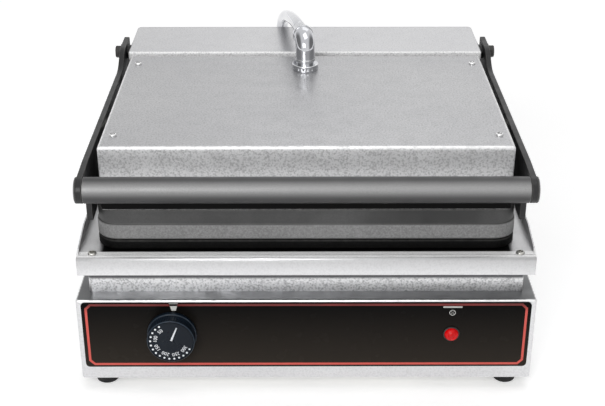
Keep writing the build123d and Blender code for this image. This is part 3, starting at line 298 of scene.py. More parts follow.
def route(corners: Sequence) -> Array:
    """A smooth line by a list of corners: a curve from mid run to mid run round each corner.

    Args:
        corners: the corner points, the first and last being the line's ends.

    Returns:
        The line's points.
    """
    corners = np.asarray(corners, float)
    middle = corners[1:-1]
    start = ((corners[:-2] + middle) / 2)[:, None]
    end = ((corners[2:] + middle) / 2)[:, None]
    t = np.linspace(0, 1, 12, endpoint=False)[None, :, None]
    curve = (1 - t) ** 2 * start + 2 * t * (1 - t) * middle[:, None] + t**2 * end
    return np.concatenate([corners[:1], curve.reshape(-1, 3), end[-1], corners[-1:]])


def carried(line: Array, profile: Array, side: Sequence[float], sides: int = 32) -> Array:
    """Circles carried along a line, each square to it.

    At a distance s along the line the ring is centre(s) + r (right cos a + up sin a), where
    right = along x side and up = along x right.

    Args:
        line: the points of the line.
        profile: points of (distance along the line, radius).
        side: a direction that the line never runs in.
        sides: how many points each circle has.

    Returns:
        Rings of points.
    """
    passed = travel(line)
    heading = unit(np.gradient(line, passed, axis=0))
    s, radius = profile[:, 0], profile[:, 1]
    centre = np.stack([np.interp(s, passed, line[:, k]) for k in range(3)], axis=1)
    along = unit(np.stack([np.interp(s, passed, heading[:, k]) for k in range(3)], axis=1))
    right = unit(np.cross(along, np.asarray(side, float)))
    up = np.cross(along, right)
    turn = np.linspace(0, 2 * np.pi, sides, endpoint=False)[None, :, None]
    spoke = right[:, None] * np.cos(turn) + up[:, None] * np.sin(turn)
    return centre[:, None] + radius[:, None, None] * spoke


@dataclass
class Surface:
    """The points, faces and edge wear of one piece, gathered shell by shell."""

    points: list[Array] = field(default_factory=list)
    wear: list[Array] = field(default_factory=list)
    faces: list[list[int]] = field(default_factory=list)
    count: int = 0

    def take(self, points: Array, wear: Array | float) -> int:
        """Adds points.

        Args:
            points: the points, by any axes and then by X, Y and Z.
            wear: the edge wear of each, or of all.

        Returns:
            The number of the first.
        """
        flat = points.reshape(-1, 3)
        first = self.count
        self.points.append(flat)
        self.wear.append(np.broadcast_to(wear, len(flat)))
        self.count += len(flat)
        return first

    def join(self, other: "Surface", facing: Facing, origin: Sequence[float]) -> None:
        """Adds another surface without wear, put in the frame as placed does."""
        first = self.take(placed(np.concatenate(other.points), facing, origin), 0.0)
        self.faces += [[first + v for v in face] for face in other.faces]

    def skin(self, rings: Array, wear: Array | float = 0.0, looped: bool = False) -> "Surface":
        """Closes a stack of rings with four-sided faces, and with a cap at each end.

        Face (i, j) joins points (i, j), (i, j+1), (i+1, j+1) and (i+1, j). Rings that run
        counter-clockwise about the way the stack goes give faces that point outwards.

        Args:
            rings: the points, by ring, by place on the ring and by axis.
            wear: the edge wear of each ring, of each point, or of all.
            looped: whether the last ring joins the first, so that there are no caps.

        Returns:
            This surface.
        """
        m, n, _ = rings.shape
        wear_and_light = np.asarray(wear, float)
        wear_and_light = wear_and_light[:, None] if wear_and_light.ndim == 1 else wear_and_light
        first = self.take(rings, np.broadcast_to(wear_and_light, (m, n)).ravel())
        i = np.arange(m if looped else m - 1)[:, None]
        j = np.arange(n)[None]
        row = i * n
        upper = ((i + 1) % m) * n
        beside = (j + 1) % n
        quads = np.stack(np.broadcast_arrays(row + j, row + beside, upper + beside, upper + j), -1)
        self.faces += (quads.reshape(-1, 4) + first).tolist()
        if not looped:
            self.faces.append(list(range(first + n - 1, first - 1, -1)))
            self.faces.append(list(range(first + (m - 1) * n, first + m * n)))
        return self

    def relief(self, x: Array, y: Array, height: Array, back: float) -> "Surface":
        """A block whose top follows height(x, y), with straight sides down to a flat back.

        Args:
            x: the places of the columns.
            y: the places of the rows.
            height: the top's height at each column and row.
            back: the height of its flat side.

        Returns:
            This surface.
        """
        nx, ny = len(x), len(y)
        grid = np.stack([*np.meshgrid(x, y, indexing="ij"), height], axis=-1)
        first = self.take(grid, 0.0)
        i = np.arange(nx - 1)[:, None]
        j = np.arange(ny - 1)[None]
        a = i * ny + j
        quads = np.stack([a, a + ny, a + ny + 1, a + 1], axis=-1).reshape(-1, 4)
        self.faces += (quads + first).tolist()
        at = np.arange(nx * ny).reshape(nx, ny)
        rim = np.concatenate([at[:-1, 0], at[-1, :-1], at[:0:-1, -1], at[0, :0:-1]])
        foot = grid.reshape(-1, 3)[rim] * [1, 1, 0] + [0, 0, back]
        below = self.take(foot, 0.0) + np.arange(len(rim))
        rim = rim + first
        walls = np.stack([below, np.roll(below, -1), np.roll(rim, -1), rim], axis=-1)
        self.faces += walls.tolist()
        self.faces.append(below[::-1].tolist())
        return self

    def slab(
        self, outline: Array, thickness: float, ease: float, facing: Facing, origin: Sequence[float]
    ) -> "Surface":
        """A flat plate with eased edges: its outline stacked along a quarter round at each face.

        Args:
            outline: its points, counter-clockwise.
            thickness: from its back to its face.
            ease: the radius along its edges.
            facing: which way its face looks.
            origin: the place of the outline's zero on its back.

        Returns:
            This surface.
        """
        inner = ease + HOLD
        section = [(inner, 0), (0, 0), (0, thickness), (inner, thickness)]
        profile, wear = soften(section, ease, 3)
        rings = raised(np.array([shrunk(outline, i) for i, _ in profile]), profile[:, 1])
        return self.skin(placed(rings, facing, origin), wear)

    def band(
        self, outer: Array, inner: Array, thickness: float, facing: Facing, origin: Sequence[float]
    ) -> "Surface":
        """A flat ring between two outlines that have as many points, with square edges.

        Args:
            outer: the outline round it, counter-clockwise.
            inner: the outline of its opening.
            thickness: from its back to its face.
            facing: which way its face looks.
            origin: the place of the outlines' zero on its back.

        Returns:
            This surface.
        """
        heights = np.array([0, thickness, thickness, 0])
        rings = raised(np.array([outer, outer, inner, inner]), heights)
        return self.skin(placed(rings, facing, origin), 0.0, looped=True)

    def lathe(
        self, section: Sequence, radii: float | Sequence[float], facing: Facing, seat: Sequence[float],
        steps: int = 5, sides: int = 48,
    ) -> "Surface":
        """A shape turned on a lathe, from a section whose inner corners are rounded.

        Args:
            section: its corners as (radius, height).
            radii: one rounding for all the inner corners, or one for each.
            facing: which way it grows from its seat.
            seat: the place on its axis at height zero.
            steps: the pieces in each rounded corner.
            sides: how many points each circle has.

        Returns:
            This surface.
        """
        profile, wear = soften(section, radii, steps)
        return self.skin(placed(turned(profile, sides), facing, seat), wear)


# Finishes


def linear(colour: Colour) -> tuple[float, float, float, float]:
    """A screen colour of 0 to 255 as the linear light that a shader takes.

    Args:
        colour: red, green and blue as a picture shows them.

    Returns:
        Red, green, blue and a full alpha.
    """
    share = np.asarray(colour, float) / 255
    light = np.where(share <= 0.04045, share / 12.92, ((share + 0.055) / 1.055) ** 2.4)
    return (*light.tolist(), 1.0)


class Wiring:
    """A node tree, with short calls for adding to it."""

    def __init__(self, tree: bpy.types.NodeTree) -> None:
        """Takes the tree that the nodes go into."""
        self.tree = tree

    def add(self, kind: str, feeds: dict | None = None, **settings: object) -> bpy.types.Node:
        """Adds a node.

        Args:
            kind: the node's type.
            feeds: what each input socket gets, by its name or number.
            settings: the node's own settings.

        Returns:
            The node.
        """
        node = self.tree.nodes.new(kind)
        for name, value in settings.items():
            setattr(node, name, value)
        self.feed(node, feeds or {})
        return node

    def feed(self, node: bpy.types.Node, feeds: dict) -> None:
        """Links each input socket to another socket, or sets its value.

        Args:
            node: the node whose inputs are fed.
            feeds: what each input socket gets, by its name or number.
        """
        for name, value in feeds.items():
            if isinstance(value, Socket):
                self.tree.links.new(value, node.inputs[name])
            else:
                node.inputs[name].default_value = value

    def spread(self, value: Socket, source: Span, target: Span) -> Socket:
        """A value moved from one range to another and kept inside it."""
        feeds = {0: value, 1: source[0], 2: source[1], 3: target[0], 4: target[1]}
        return self.add("ShaderNodeMapRange", feeds).outputs[0]

    def maths(self, operation: str, first: object, second: object = 0.0) -> Socket:
        """The outcome of a sum on one or two values."""
        return self.add("ShaderNodeMath", {0: first, 1: second}, operation=operation).outputs[0]

    def between(self, share: object, first: object, second: object) -> Socket:
        """The number that lies a share of the way from the first to the second."""
        return self.add("ShaderNodeMix", {0: share, 2: first, 3: second}).outputs[0]

    def rays(self, *kinds: str) -> Socket:
        """A share that is 1 for some kinds of ray and 0 for the others.

        Args:
            kinds: the Light Path outputs that count.

        Returns:
            The socket that gives it.
        """
        path = self.add("ShaderNodeLightPath").outputs
        total = path[kinds[0]]
        for kind in kinds[1:]:
            total = self.maths("MAXIMUM", total, path[kind])
        return total


class Bench(Wiring):
    """One material's node tree, with what the finishes share."""

    def __init__(self, name: str) -> None:
        """Starts a material with its shader and its object coordinates.

        Args:
            name: the material's name.
        """
        self.material = bpy.data.materials.new(name)
        self.material.use_nodes = True
        super().__init__(self.material.node_tree)
        self.shader = self.tree.nodes["Principled BSDF"]
        self.place = self.add("ShaderNodeTexCoord").outputs["Object"]

    def noise(self, scale: float, stretch: Triple = (1, 1, 1), detail: float = 3) -> Socket:
        """Soft noise over the object, from 0 to 1.

        Args:
            scale: how many lumps there are to a metre.
            stretch: how much denser it is along each axis.
            detail: how many finer layers it has.

        Returns:
            The socket that gives it, spread over its whole range.
        """
        mapping = self.add("ShaderNodeMapping", {"Vector": self.place, "Scale": stretch})
        feeds = {"Vector": mapping.outputs[0], "Scale": scale, "Detail": detail}
        texture = self.add("ShaderNodeTexNoise", feeds)
        usual = (0.32, 0.68)
        return self.spread(texture.outputs[0], usual, (0, 1))

    def blend(self, share: object, first: object, second: object) -> Socket:
        """The colour that lies a share of the way from the first to the second."""
        feeds = {0: share, 6: first, 7: second}
        return self.add("ShaderNodeMix", feeds, data_type="RGBA").outputs[2]

    def bump(self, height: object, depth: float, under: object = None) -> Socket:
        """A surface normal that follows a height.

        Args:
            height: the height, from 0 to 1.
            depth: how deep it is where it goes from 0 to 1.
            under: the normal that it is laid on, or None for the surface's own.

        Returns:
            The socket that gives the normal.
        """
        feeds = {"Height": height, "Distance": depth, "Strength": 1.0}
        if under is not None:
            feeds["Normal"] = under
        return self.add("ShaderNodeBump", feeds).outputs[0]

    def axis(self, name: str) -> Socket:
        """One of the object coordinates, X, Y or Z."""
        return self.add("ShaderNodeSeparateXYZ", {0: self.place}).outputs[name]

    def heights(self, low: float, high: float) -> Socket:
        """A share that goes from 0 at one height on the object to 1 at another."""
        return self.spread(self.axis("Z"), (low, high), (0, 1))

    def past(self, axis: str, line: float, soft: float) -> Socket:
        """A share that goes from 0 before a line to 1 past it, or back where soft is below zero."""
        return self.spread(self.axis(axis), (line - soft, line + soft), (0, 1))


@dataclass(frozen=True)
class Finish:
    """How one kind of surface looks: two tones in clouds, a grain, and an edge tone that is wear, and
    on some finishes painted light.
    """

    slot: str
    tone: Colour
    deep: Colour
    metallic: float = 0.0
    roughness: float = 0.45
    rough_play: float = 0.08
    rough_scale: float = 60.0
    cloud: float = 9.0
    grain: float = 900.0
    stretch: Triple = (1, 1, 1)
    grain_share: float = 0.3
    grain_depth: float = 0.02 * MM
    # The edge tone and how much of it shows: wear on most finishes, a painted highlight on some steel
    # and on the grip, painted shade on the deck
    wear_and_light: Colour = (150, 150, 150)
    wear_and_light_share: float = 0.5
    wear_and_light_least: float = 0.4
    wear_and_light_scale: float = 220.0
    coat: float = 0.0
    coat_roughness: float = 0.3
    specular: float = 0.5

    def base(self, bench: Bench) -> Socket:
        """The colour before wear: clouds of the two tones, with the grain towards the deep one.

        Args:
            bench: the material's nodes.

        Returns:
            The socket that gives it.
        """
        clouds = bench.blend(bench.noise(self.cloud), linear(self.deep), linear(self.tone))
        grain = bench.noise(self.grain, self.stretch)
        share = bench.maths("MULTIPLY", grain, self.grain_share)
        return bench.blend(share, clouds, linear(self.deep))

    def relief(self, bench: Bench) -> Socket:
        """The fine relief of the grain."""
        return bench.bump(bench.noise(self.grain, self.stretch), self.grain_depth)

    def details(self, bench: Bench) -> None:
        """Sets what only this finish has."""

    def material(self) -> bpy.types.Material:
        """Builds the finish.

        Returns:
            A material with its colour, roughness and relief from nodes.
        """
        bench = Bench(f"{self.slot}_{type(self).__name__.lower()}")
        # The wear attribute, made patchy by noise, lays the edge tone: wear, and on some finishes
        # painted light
        edge = bench.add("ShaderNodeAttribute", attribute_name="wear").outputs["Fac"]
        shares = (self.wear_and_light_least * self.wear_and_light_share, self.wear_and_light_share)
        lit_and_rubbed = bench.spread(bench.noise(self.wear_and_light_scale, detail=4), (0, 0.8), shares)
        wear = bench.maths("MULTIPLY", edge, lit_and_rubbed)
        roughs = (self.roughness - self.rough_play, self.roughness + self.rough_play)
        bench.feed(bench.shader, {
            "Base Color": bench.blend(wear, self.base(bench), linear(self.wear_and_light)),
            "Roughness": bench.spread(bench.noise(self.rough_scale), (0, 1), roughs),
            "Normal": self.relief(bench),
            "Metallic": self.metallic,
            "Specular IOR Level": self.specular,
            "Coat Weight": self.coat,
            "Coat Roughness": self.coat_roughness,
        })
        self.details(bench)
        return bench.material


@dataclass(frozen=True)
class BrushedSteel(Finish):
    """Satin sheet steel with fine brushing along the object's width."""

    metallic: float = 0.85
    roughness: float = 0.36
    stretch: Triple = (0.05, 1, 1)
    grain: float = 1500.0
    cloud: float = 5.0
    mottle: float = 640.0
    mottle_share: float = 0.35
    speckle: Colour = (120, 120, 122)
    # Painted shade: between two heights the tone turns to a darker one
    shade_tone: Colour = (120, 120, 122)
    shade_from: float = 8.0
    shade_to: float = 9.0
    # Painted shadow: below one height the sheet is near black
    shadow_below: float = -1.0
    shadow_tone: Colour = (3, 3, 3)
    shadow_soft: float = 0.7 * MM
    # Painted light: a strip before one line and above one height is paler and less metallic
    lit_before: float = -9.0
    lit_above: float = 9.0
    lit_tone: Colour = (253, 253, 253)
    lit_metal: float = 0.05
    lit_soft: float = 0.3 * MM

    def pale(self, bench: Bench) -> Socket:
        """A share that is 1 on the strip of painted light in front of one line and above one height.

        Args:
            bench: the material's nodes.

        Returns:
            The socket that gives it.
        """
        ahead = bench.past("Y", self.lit_before, -self.lit_soft)
        above = bench.past("Z", self.lit_above, self.lit_soft)
        return bench.maths("MULTIPLY", ahead, above)

    def base(self, bench: Bench) -> Socket:
        """The brushed tone with painted shade between two heights, a strip of painted light, darker
        speckles and a painted shadow at the foot.

        Args:
            bench: the material's nodes.

        Returns:
            The socket that gives it.
        """
        sheet = super().base(bench)
        # Painted shade between two heights
        if self.shade_from < 1:
            share = bench.heights(self.shade_from, self.shade_to)
            sheet = bench.blend(share, sheet, linear(self.shade_tone))
        # Painted light on the strip
        if self.lit_above < 1:
            sheet = bench.blend(self.pale(bench), sheet, linear(self.lit_tone))
        spots = bench.spread(bench.noise(self.mottle, detail=4), (0.35, 0.95), (0, self.mottle_share))
        sheet = bench.blend(spots, sheet, linear(self.speckle))
        # Painted shadow below one height
        if self.shadow_below > 0:
            share = bench.past("Z", self.shadow_below, -self.shadow_soft)
            sheet = bench.blend(share, sheet, linear(self.shadow_tone))
        return sheet

    def details(self, bench: Bench) -> None:
        """Makes the strip of painted light less of a mirror.

        Args:
            bench: the material's nodes.
        """
        if self.lit_above < 1:
            metal = bench.spread(self.pale(bench), (0, 1), (self.metallic, self.lit_metal))
            bench.feed(bench.shader, {"Metallic": metal})


@dataclass(frozen=True)
class DeckSheet(BrushedSteel):
    """The deck's steel, with painted shade in a strip before the lower plate."""

    gap_shade_front: float = -175.2 * MM
    gap_shade_back: float = -155.0 * MM
    gap_shade_half: float = 187.0 * MM
    gap_shade_tone: Colour = (7, 7, 7)
    gap_shade_soft: float = 0.6 * MM

    def base(self, bench: Bench) -> Socket:
        """The sheet's tone, with painted shade on the flat between the strip of painted light and the
        plate.

        Args:
            bench: the material's nodes.

        Returns:
            The socket that gives it.
        """
        soft = self.gap_shade_soft
        sheet = super().base(bench)
        behind = bench.past("Y", self.gap_shade_front, soft)
        before = bench.past("Y", self.gap_shade_back, -soft)
        off = bench.maths("ABSOLUTE", bench.axis("X"))
        inside = bench.spread(off, (self.gap_shade_half + 6 * soft, self.gap_shade_half), (0, 1))
        above = bench.heights(self.lit_above - soft, self.lit_above)
        share = bench.maths("MULTIPLY", bench.maths("MULTIPLY", behind, before), inside)
        # Painted shade on the flat between the strip and the plate
        return bench.blend(bench.maths("MULTIPLY", share, above), sheet, linear(self.gap_shade_tone))


@dataclass(frozen=True)
class CastMetal(Finish):
    """Cast iron: a sandy skin with pits, and between two heights a band of another tone, painted light
    where it is paler and painted shade where it is darker.
    """

    metallic: float = 0.35
    roughness: float = 0.55
    shading_band_low: float = 0.0
    shading_band_high: float = 0.0
    shading_band_tone: Colour = (140, 140, 140)
    shading_band_soft: float = 0.6 * MM
    pit_scale: float = 330.0

    def base(self, bench: Bench) -> Socket:
        """The dark cast tone, with the band's painted tone inside it.

        Args:
            bench: the material's nodes.

        Returns:
            The socket that gives it.
        """
        cast = super().base(bench)
        below = bench.past("Z", self.shading_band_high, -self.shading_band_soft)
        above = bench.past("Z", self.shading_band_low, self.shading_band_soft)
        grain = bench.spread(bench.noise(self.grain, detail=4), (0, 1), (0.55, 1))
        share = bench.maths("MULTIPLY", bench.maths("MULTIPLY", below, above), grain)
        return bench.blend(share, cast, linear(self.shading_band_tone))

    def relief(self, bench: Bench) -> Socket:
        """Sand grain with scattered pits sunk into it.

        Args:
            bench: the material's nodes.

        Returns:
            The socket that gives the normal.
        """
        pits = bench.add("ShaderNodeTexVoronoi", {"Vector": bench.place, "Scale": self.pit_scale})
        sunk = bench.spread(pits.outputs["Distance"], (0.05, 0.3), (0, 1))
        return bench.bump(sunk, 2 * self.grain_depth, super().relief(bench))


@dataclass(frozen=True)
class PrintedFilm(Finish):
    """A printed film whose tone changes from its foot to its head; the lighter foot is a painted
    reflection.
    """

    reflected_foot_tone: Colour = (50, 45, 40)
    low: float = 0.0
    high: float = 1.0

    def base(self, bench: Bench) -> Socket:
        """The film's tone by height, lighter at its foot as painted reflection, with a fine mottle."""
        film = super().base(bench)
        return bench.blend(bench.heights(self.low, self.high), linear(self.reflected_foot_tone), film)


@dataclass(frozen=True)
class RedLens(Finish):
    """Clear red plastic that lets some light through and glows a little."""

    glow: float = 0.25
    clear: float = 0.25

    def details(self, bench: Bench) -> None:
        """Sets the glow and how clear the lens is.

        Args:
            bench: the material's nodes.
        """
        bench.feed(bench.shader, {
            "Transmission Weight": self.clear,
            "Emission Color": linear(self.tone),
            "Emission Strength": self.glow,
        })


# These stainless finishes are one steel with a tone for each piece: painted light and shade, paler on
# pieces that stand in more light, darker on those in shade
STEEL = BrushedSteel("stainless_satin", (204, 204, 205), (194, 194, 196), wear_and_light=(238, 238, 238))
# Near white on its bends: painted highlight. Darker on its top face, from 99.7 mm up: painted shade
# under the deck
BOX_STEEL = BrushedSteel(
    "stainless_satin", (222, 222, 223), (212, 212, 214), metallic=1.0, mottle_share=0.15,
    wear_and_light=(252, 252, 252), wear_and_light_share=0.9,
    shade_tone=(104, 105, 106), shade_from=99.7 * MM, shade_to=100.2 * MM,
)
# Dark edge tone: painted shade on its edges. Darker from 144 mm up than below 128 mm: painted shade.
# Near white and less metallic on the top strip before the plate: painted light
DECK_STEEL = DeckSheet(
    "stainless_satin", (228, 228, 229), (220, 220, 222), metallic=0.8, mottle_share=0.12,
    wear_and_light=(126, 126, 128), wear_and_light_share=0.9,
    shade_tone=(192, 192, 193), shade_from=128 * MM, shade_to=144 * MM,
    lit_before=-175.2 * MM, lit_above=146.2 * MM,
)
# Near white and less metallic on its top front edge: painted highlight
HOUSING_STEEL = BrushedSteel(
    "stainless_satin", (203, 203, 204), (196, 196, 198), wear_and_light=(238, 238, 238),
    lit_before=87.4 * MM, lit_above=240.0 * MM,
)
# Darker from 115.5 mm up: painted shade under the deck's lip
RISER_STEEL = BrushedSteel(
    "stainless_satin", (238, 238, 239), (226, 226, 228), mottle_share=0.55, mottle=520.0,
    speckle=(104, 104, 108), wear_and_light=(238, 238, 238),
    shade_tone=(92, 92, 94), shade_from=113 * MM, shade_to=115.5 * MM,
)
# Near white on its bends: painted highlight. Near black below 194.2 mm: painted shadow under the
# handle. Paler and less metallic on its front face: painted light
COVER_STEEL = BrushedSteel(
    "stainless_satin", (190, 190, 191), (180, 180, 182), metallic=0.65, mottle_share=0.5,
    wear_and_light=(250, 250, 250), wear_and_light_share=0.95, shadow_below=194.2 * MM, specular=0.1,
    lit_before=-166.9 * MM, lit_above=100 * MM, lit_tone=(222, 222, 223), lit_metal=0.35,
)
SCREW_STEEL = Finish(
    "zinc_steel", (244, 244, 244), (220, 220, 220), metallic=0.6, roughness=0.3, cloud=35.0,
    wear_and_light=(252, 252, 252),
)
ARM_PAINT = Finish(
    "arm_paint", (40, 40, 41), (26, 26, 27), roughness=0.42, wear_and_light=(110, 108, 104), wear_and_light_share=0.35,
    specular=0.3,
)
# A pale edge tone over most of a band along the grip's front: painted highlight, and wear on the
# grip's edges
GRIP = Finish(
    "handle_black", (34, 34, 36), (22, 22, 24), grain=700.0, grain_share=0.45,
    wear_and_light=(160, 160, 160), wear_and_light_share=0.95, wear_and_light_least=0.8, wear_and_light_scale=1300.0,
    coat=0.3, specular=0.35,
)
KNOB_BLACK = Finish(
    "knob_black", (14, 25, 36), (7, 13, 22), roughness=0.32, wear_and_light=(72, 86, 100), specular=0.2
)
WHITE_INK = Finish("knob_black", (250, 251, 253), (232, 236, 242), roughness=0.5, grain_share=0.15)
PANEL_INK = Finish("panel_black", (214, 214, 210), (180, 180, 178), roughness=0.5, grain_share=0.2)
# Lighter on the line's foot, from 96 mm down: painted reflection of the floor
RED_INK = PrintedFilm(
    "panel_black", (118, 20, 18), (90, 12, 11), cloud=40.0,
    reflected_foot_tone=(212, 86, 76), low=88 * MM, high=96 * MM,
)
PANEL_PLAIN = Finish("panel_black", (16, 16, 17), (8, 8, 9), roughness=0.25)
LENS = RedLens(
    "lamp_red", (232, 6, 10), (170, 2, 6), roughness=0.24, cloud=120.0, grain_depth=0.004 * MM,
    specular=0.15,
)
DARK_PLASTIC = Finish("dark_plastic", (42, 42, 44), (28, 28, 30), roughness=0.5)
CHROME = Finish(
    "chrome_fitting", (214, 215, 218), (188, 189, 193), metallic=1.0, roughness=0.08,
    rough_play=0.03, cloud=30.0, grain_share=0.1, grain_depth=0.003 * MM, wear_and_light=(240, 240, 240),
)
ZINC = Finish(
    "zinc_steel", (198, 197, 190), (150, 150, 148), metallic=1.0, roughness=0.34, cloud=35.0,
    wear_and_light=(228, 227, 222),
)
ELEMENT = Finish(
    "element_steel", (140, 130, 122), (92, 80, 84), metallic=1.0, roughness=0.4, cloud=25.0
)
BRASS = Finish("brass", (208, 172, 98), (160, 124, 60), metallic=1.0, roughness=0.3, cloud=40.0)
WOOL = Finish(
    "wool", (226, 219, 196), (190, 180, 150), roughness=0.95, rough_play=0.04, grain=500.0,
    grain_share=0.6, stretch=(1, 0.25, 1), grain_depth=0.4 * MM,
)
WHITE_PLASTIC = Finish("white_plastic", (226, 224, 214), (200, 196, 184))
RUBBER = Finish(
    "rubber_black", (38, 38, 39), (24, 24, 25), roughness=0.75, grain_depth=0.05 * MM, specular=0.3
)
RAW_CAST = CastMetal("cast_plate", (72, 71, 70), (44, 44, 44))


@lru_cache(maxsize=None)
def material_of(finish: Finish) -> bpy.types.Material:
    """The one material of a finish, made when it is first asked for."""
    return finish.material()


# What the sub-assemblies share


def into_scene(name: str, data: bpy.types.ID) -> bpy.types.Object:
    """Makes an object of a mesh, a light or a camera, and links it to the scene.

    Args:
        name: the object's name.
        data: what it shows.

    Returns:
        The object.
    """
    thing = bpy.data.objects.new(name, data)
    bpy.context.scene.collection.objects.link(thing)
    return thing


def make_piece(
    name: str, surface: Surface, finish: Finish, body: str | None, *stands_for: str
) -> bpy.types.Object:
    """Makes a surface into a piece of the object.

    Args:
        name: the piece's name.
        surface: its points and faces.
        finish: how it looks.
        body: the CAD body that it rides on, or None for a piece that spans two bodies and rides on
            neither.
        stands_for: the CAD nodes that it replaces.

    Returns:
        The piece.
    """
    mesh = bpy.data.meshes.new(name)
    mesh.from_pydata(np.concatenate(surface.points).tolist(), [], surface.faces)
    # The wear attribute holds edge wear, and on the grip a painted highlight too
    edge = mesh.attributes.new("wear", "FLOAT", "POINT")
    edge.data.foreach_set("value", np.concatenate(surface.wear).astype(np.float32))
    mesh.shade_smooth()
    mesh.set_sharp_from_angle(angle=SHARP_EDGE)
    piece = into_scene(name, mesh)
    mesh.materials.append(material_of(finish))
    if body:
        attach(piece, body)
    if stands_for:
        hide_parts(*stands_for)
    log.info("%s has %d faces", name, len(surface.faces))
    return piece


def open_box(
    box: Box, corner: float, wall: float, inward: float, radii: Sequence[float], steps: int = 5
) -> Surface:
    """A box of sheet, open at its foot: its inside, foot edge and outside as one closed skin.

    Args:
        box: the box that it fills.
        corner: the radius of its upright edges.
        wall: the sheet's thickness.
        inward: how far from its sides the caps of its top begin.
        radii: the rounding of its inner bend, the foot's two edges and its outer bend.
        steps: the pieces in each rounding.

    Returns:
        Its surface.
    """
    top, foot = box.high[2], box.low[2]
    section = [
        (inward, top - wall), (wall, top - wall), (wall, foot), (0, foot), (0, top), (inward, top),
    ]
    profile, wear = soften(section, radii, steps)
    rings = rect_stack(box.size[0], box.size[1], corner, profile)
    return Surface().skin(placed(rings, Facing.UP, box.stand), wear)


def lettering(words: Sequence[tuple[str, float, float, float]], size: float, lift: float) -> Surface:
    """Short words as raised flat letters in their own plane.

    Args:
        words: each word with its place along two axes and its turn in radians.
        size: the height that the letters are set at.
        lift: how thick the letters are.

    Returns:
        A surface that holds all of them, standing on height zero.
    """
    surface = Surface()
    for word, across, along, turn in words:
        curve = bpy.data.curves.new("letters", "FONT")
        curve.body = word
        curve.size = size
        curve.align_x = "CENTER"
        curve.align_y = "CENTER"
        curve.extrude = lift / 2
        curve.resolution_u = 3
        holder = bpy.data.objects.new("letters", curve)
        mesh = bpy.data.meshes.new_from_object(holder)
        flat = np.zeros(len(mesh.vertices) * 3)
        mesh.vertices.foreach_get("co", flat)
        cos, sin = math.cos(turn), math.sin(turn)
        spin = np.array([[cos, sin, 0], [-sin, cos, 0], [0, 0, 1]])
        first = surface.take(flat.reshape(-1, 3) @ spin + [across, along, lift / 2], 0.0)
        surface.faces += [[first + v for v in face.vertices] for face in mesh.polygons]
        bpy.data.meshes.remove(mesh)
        bpy.data.objects.remove(holder)
        bpy.data.curves.remove(curve)
    return surface


def button_head(
    surface: Surface, spot: Sequence[float], facing: Facing, radius: float, rise: float
) -> None:
    """Adds a domed screw head with a hexagon socket, and a stub of its shank behind it.

    The dome's profile is a softened corner, and the socket is hexagons sunk into it.

    Args:
        surface: the surface that takes it.
        spot: the centre of its seat.
        facing: which way it looks.
        radius: the head's radius.
        rise: the head's height.
    """
    sides = 48
    stub = 3 * MM
    shank = 0.5 * radius
    socket = 0.5 * radius
    crease = 0.1 * MM
    outside = [(shank, -stub), (shank, 0), (radius, 0), (radius, rise), (socket * 1.25, rise)]
    profile, wear = soften(outside, [crease, crease, min(radius * 0.5, rise * 0.75)])
    pit = raised(
        np.array([hexagon(share * socket, sides) for share in (2, 1.9, 1.8)]),
        np.array([rise, rise - crease, rise * 0.35]),
    )
    rings = np.concatenate([turned(profile, sides), pit])
    surface.skin(placed(rings, facing, spot), np.concatenate([wear, [0.6, 0.2, 0]]))


def four_heads(node: str, level: float, radius: float) -> Surface:
    """Four screw heads that look up, in the corners of the box round a CAD node.

    Args:
        node: the CAD node of the screws.
        level: the height of the heads' seats.
        radius: the radius of each head.

    Returns:
        A surface that holds all four.
    """
    rise = 2 * MM
    surface = Surface()
    for x, y in Box.of(node).four(radius):
        button_head(surface, (x, y, level), Facing.UP, radius, rise)
    return surface


def hex_nut(
    surface: Surface, spot: Sequence[float], facing: Facing, across: float, rise: float
) -> None:
    """Adds a hexagon nut whose corners are chamfered by a circle at each face.

    Args:
        surface: the surface that takes it.
        spot: the centre of its seat.
        facing: which way it looks.
        across: its size across the flats.
        rise: its thickness.
    """
    full = hexagon(across)
    reach = np.linalg.norm(full, axis=1, keepdims=True)
    eased = full / reach * np.minimum(reach, across / 2 * 1.02)
    face = eased * 0.96
    chamfer = 0.12 * rise
    outlines = np.array([face, eased, full, full, eased, face])
    heights = np.array([0, 0, chamfer, rise - chamfer, rise, rise])
    wear = np.array([0, 0.5, 0.8, 0.8, 0.8, 0])
    surface.skin(placed(raised(outlines, heights), facing, spot), wear)


# The base box with its feet


@dataclass
class BaseBox:
    """The sheet steel box that the grill stands on, with its four feet."""

    corner: float = 3 * MM
    wall: float = 1.5 * MM
    bend: float = 2.2 * MM
    inward: float = 60 * MM
    foot_radius: float = 13.5 * MM
    foot_tip: float = 10.5 * MM
    foot_hub: float = 0.4 * MM
    recess: float = 5.4 * MM
    recess_depth: float = 4 * MM

    def shell(self) -> None:
        """The box."""
        radii = [0.8 * MM, 0.6 * MM, 0.6 * MM, self.bend]
        surface = open_box(Box.of("base_shell"), self.corner, self.wall, self.inward, radii)
        make_piece("base_box", surface, BOX_STEEL, "base", "base_shell")

    def feet(self) -> None:
        """Four rubber feet, tapered, with a shallow groove round each."""
        box = Box.of("feet")
        rise = box.high[2]
        groove = self.foot_tip + 0.55 * (self.foot_radius - self.foot_tip)
        section = [
            (self.foot_hub, self.recess_depth), (self.recess, self.recess_depth), (self.recess, 0),
            (self.foot_tip, 0), (groove, 0.55 * rise), (groove - 0.7 * MM, 0.6 * rise),
            (groove + 0.2 * MM, 0.66 * rise), (self.foot_radius, rise - 1 * MM),
            (self.foot_radius, rise), (self.foot_hub, rise),
        ]
        radii = [0.2 * MM, 0.5 * MM, 1.8 * MM, *[0.35 * MM] * 5]
        surface = Surface()
        for x, y in box.four(self.foot_radius):
            surface.lathe(section, radii, Facing.UP, (x, y, 0), 3)
        make_piece("rubber_feet", surface, RUBBER, "base", "feet")

    def build(self) -> None:
        """Builds the box and its feet."""
        self.shell()
        self.feet()


# The control panel with its dial and lamp


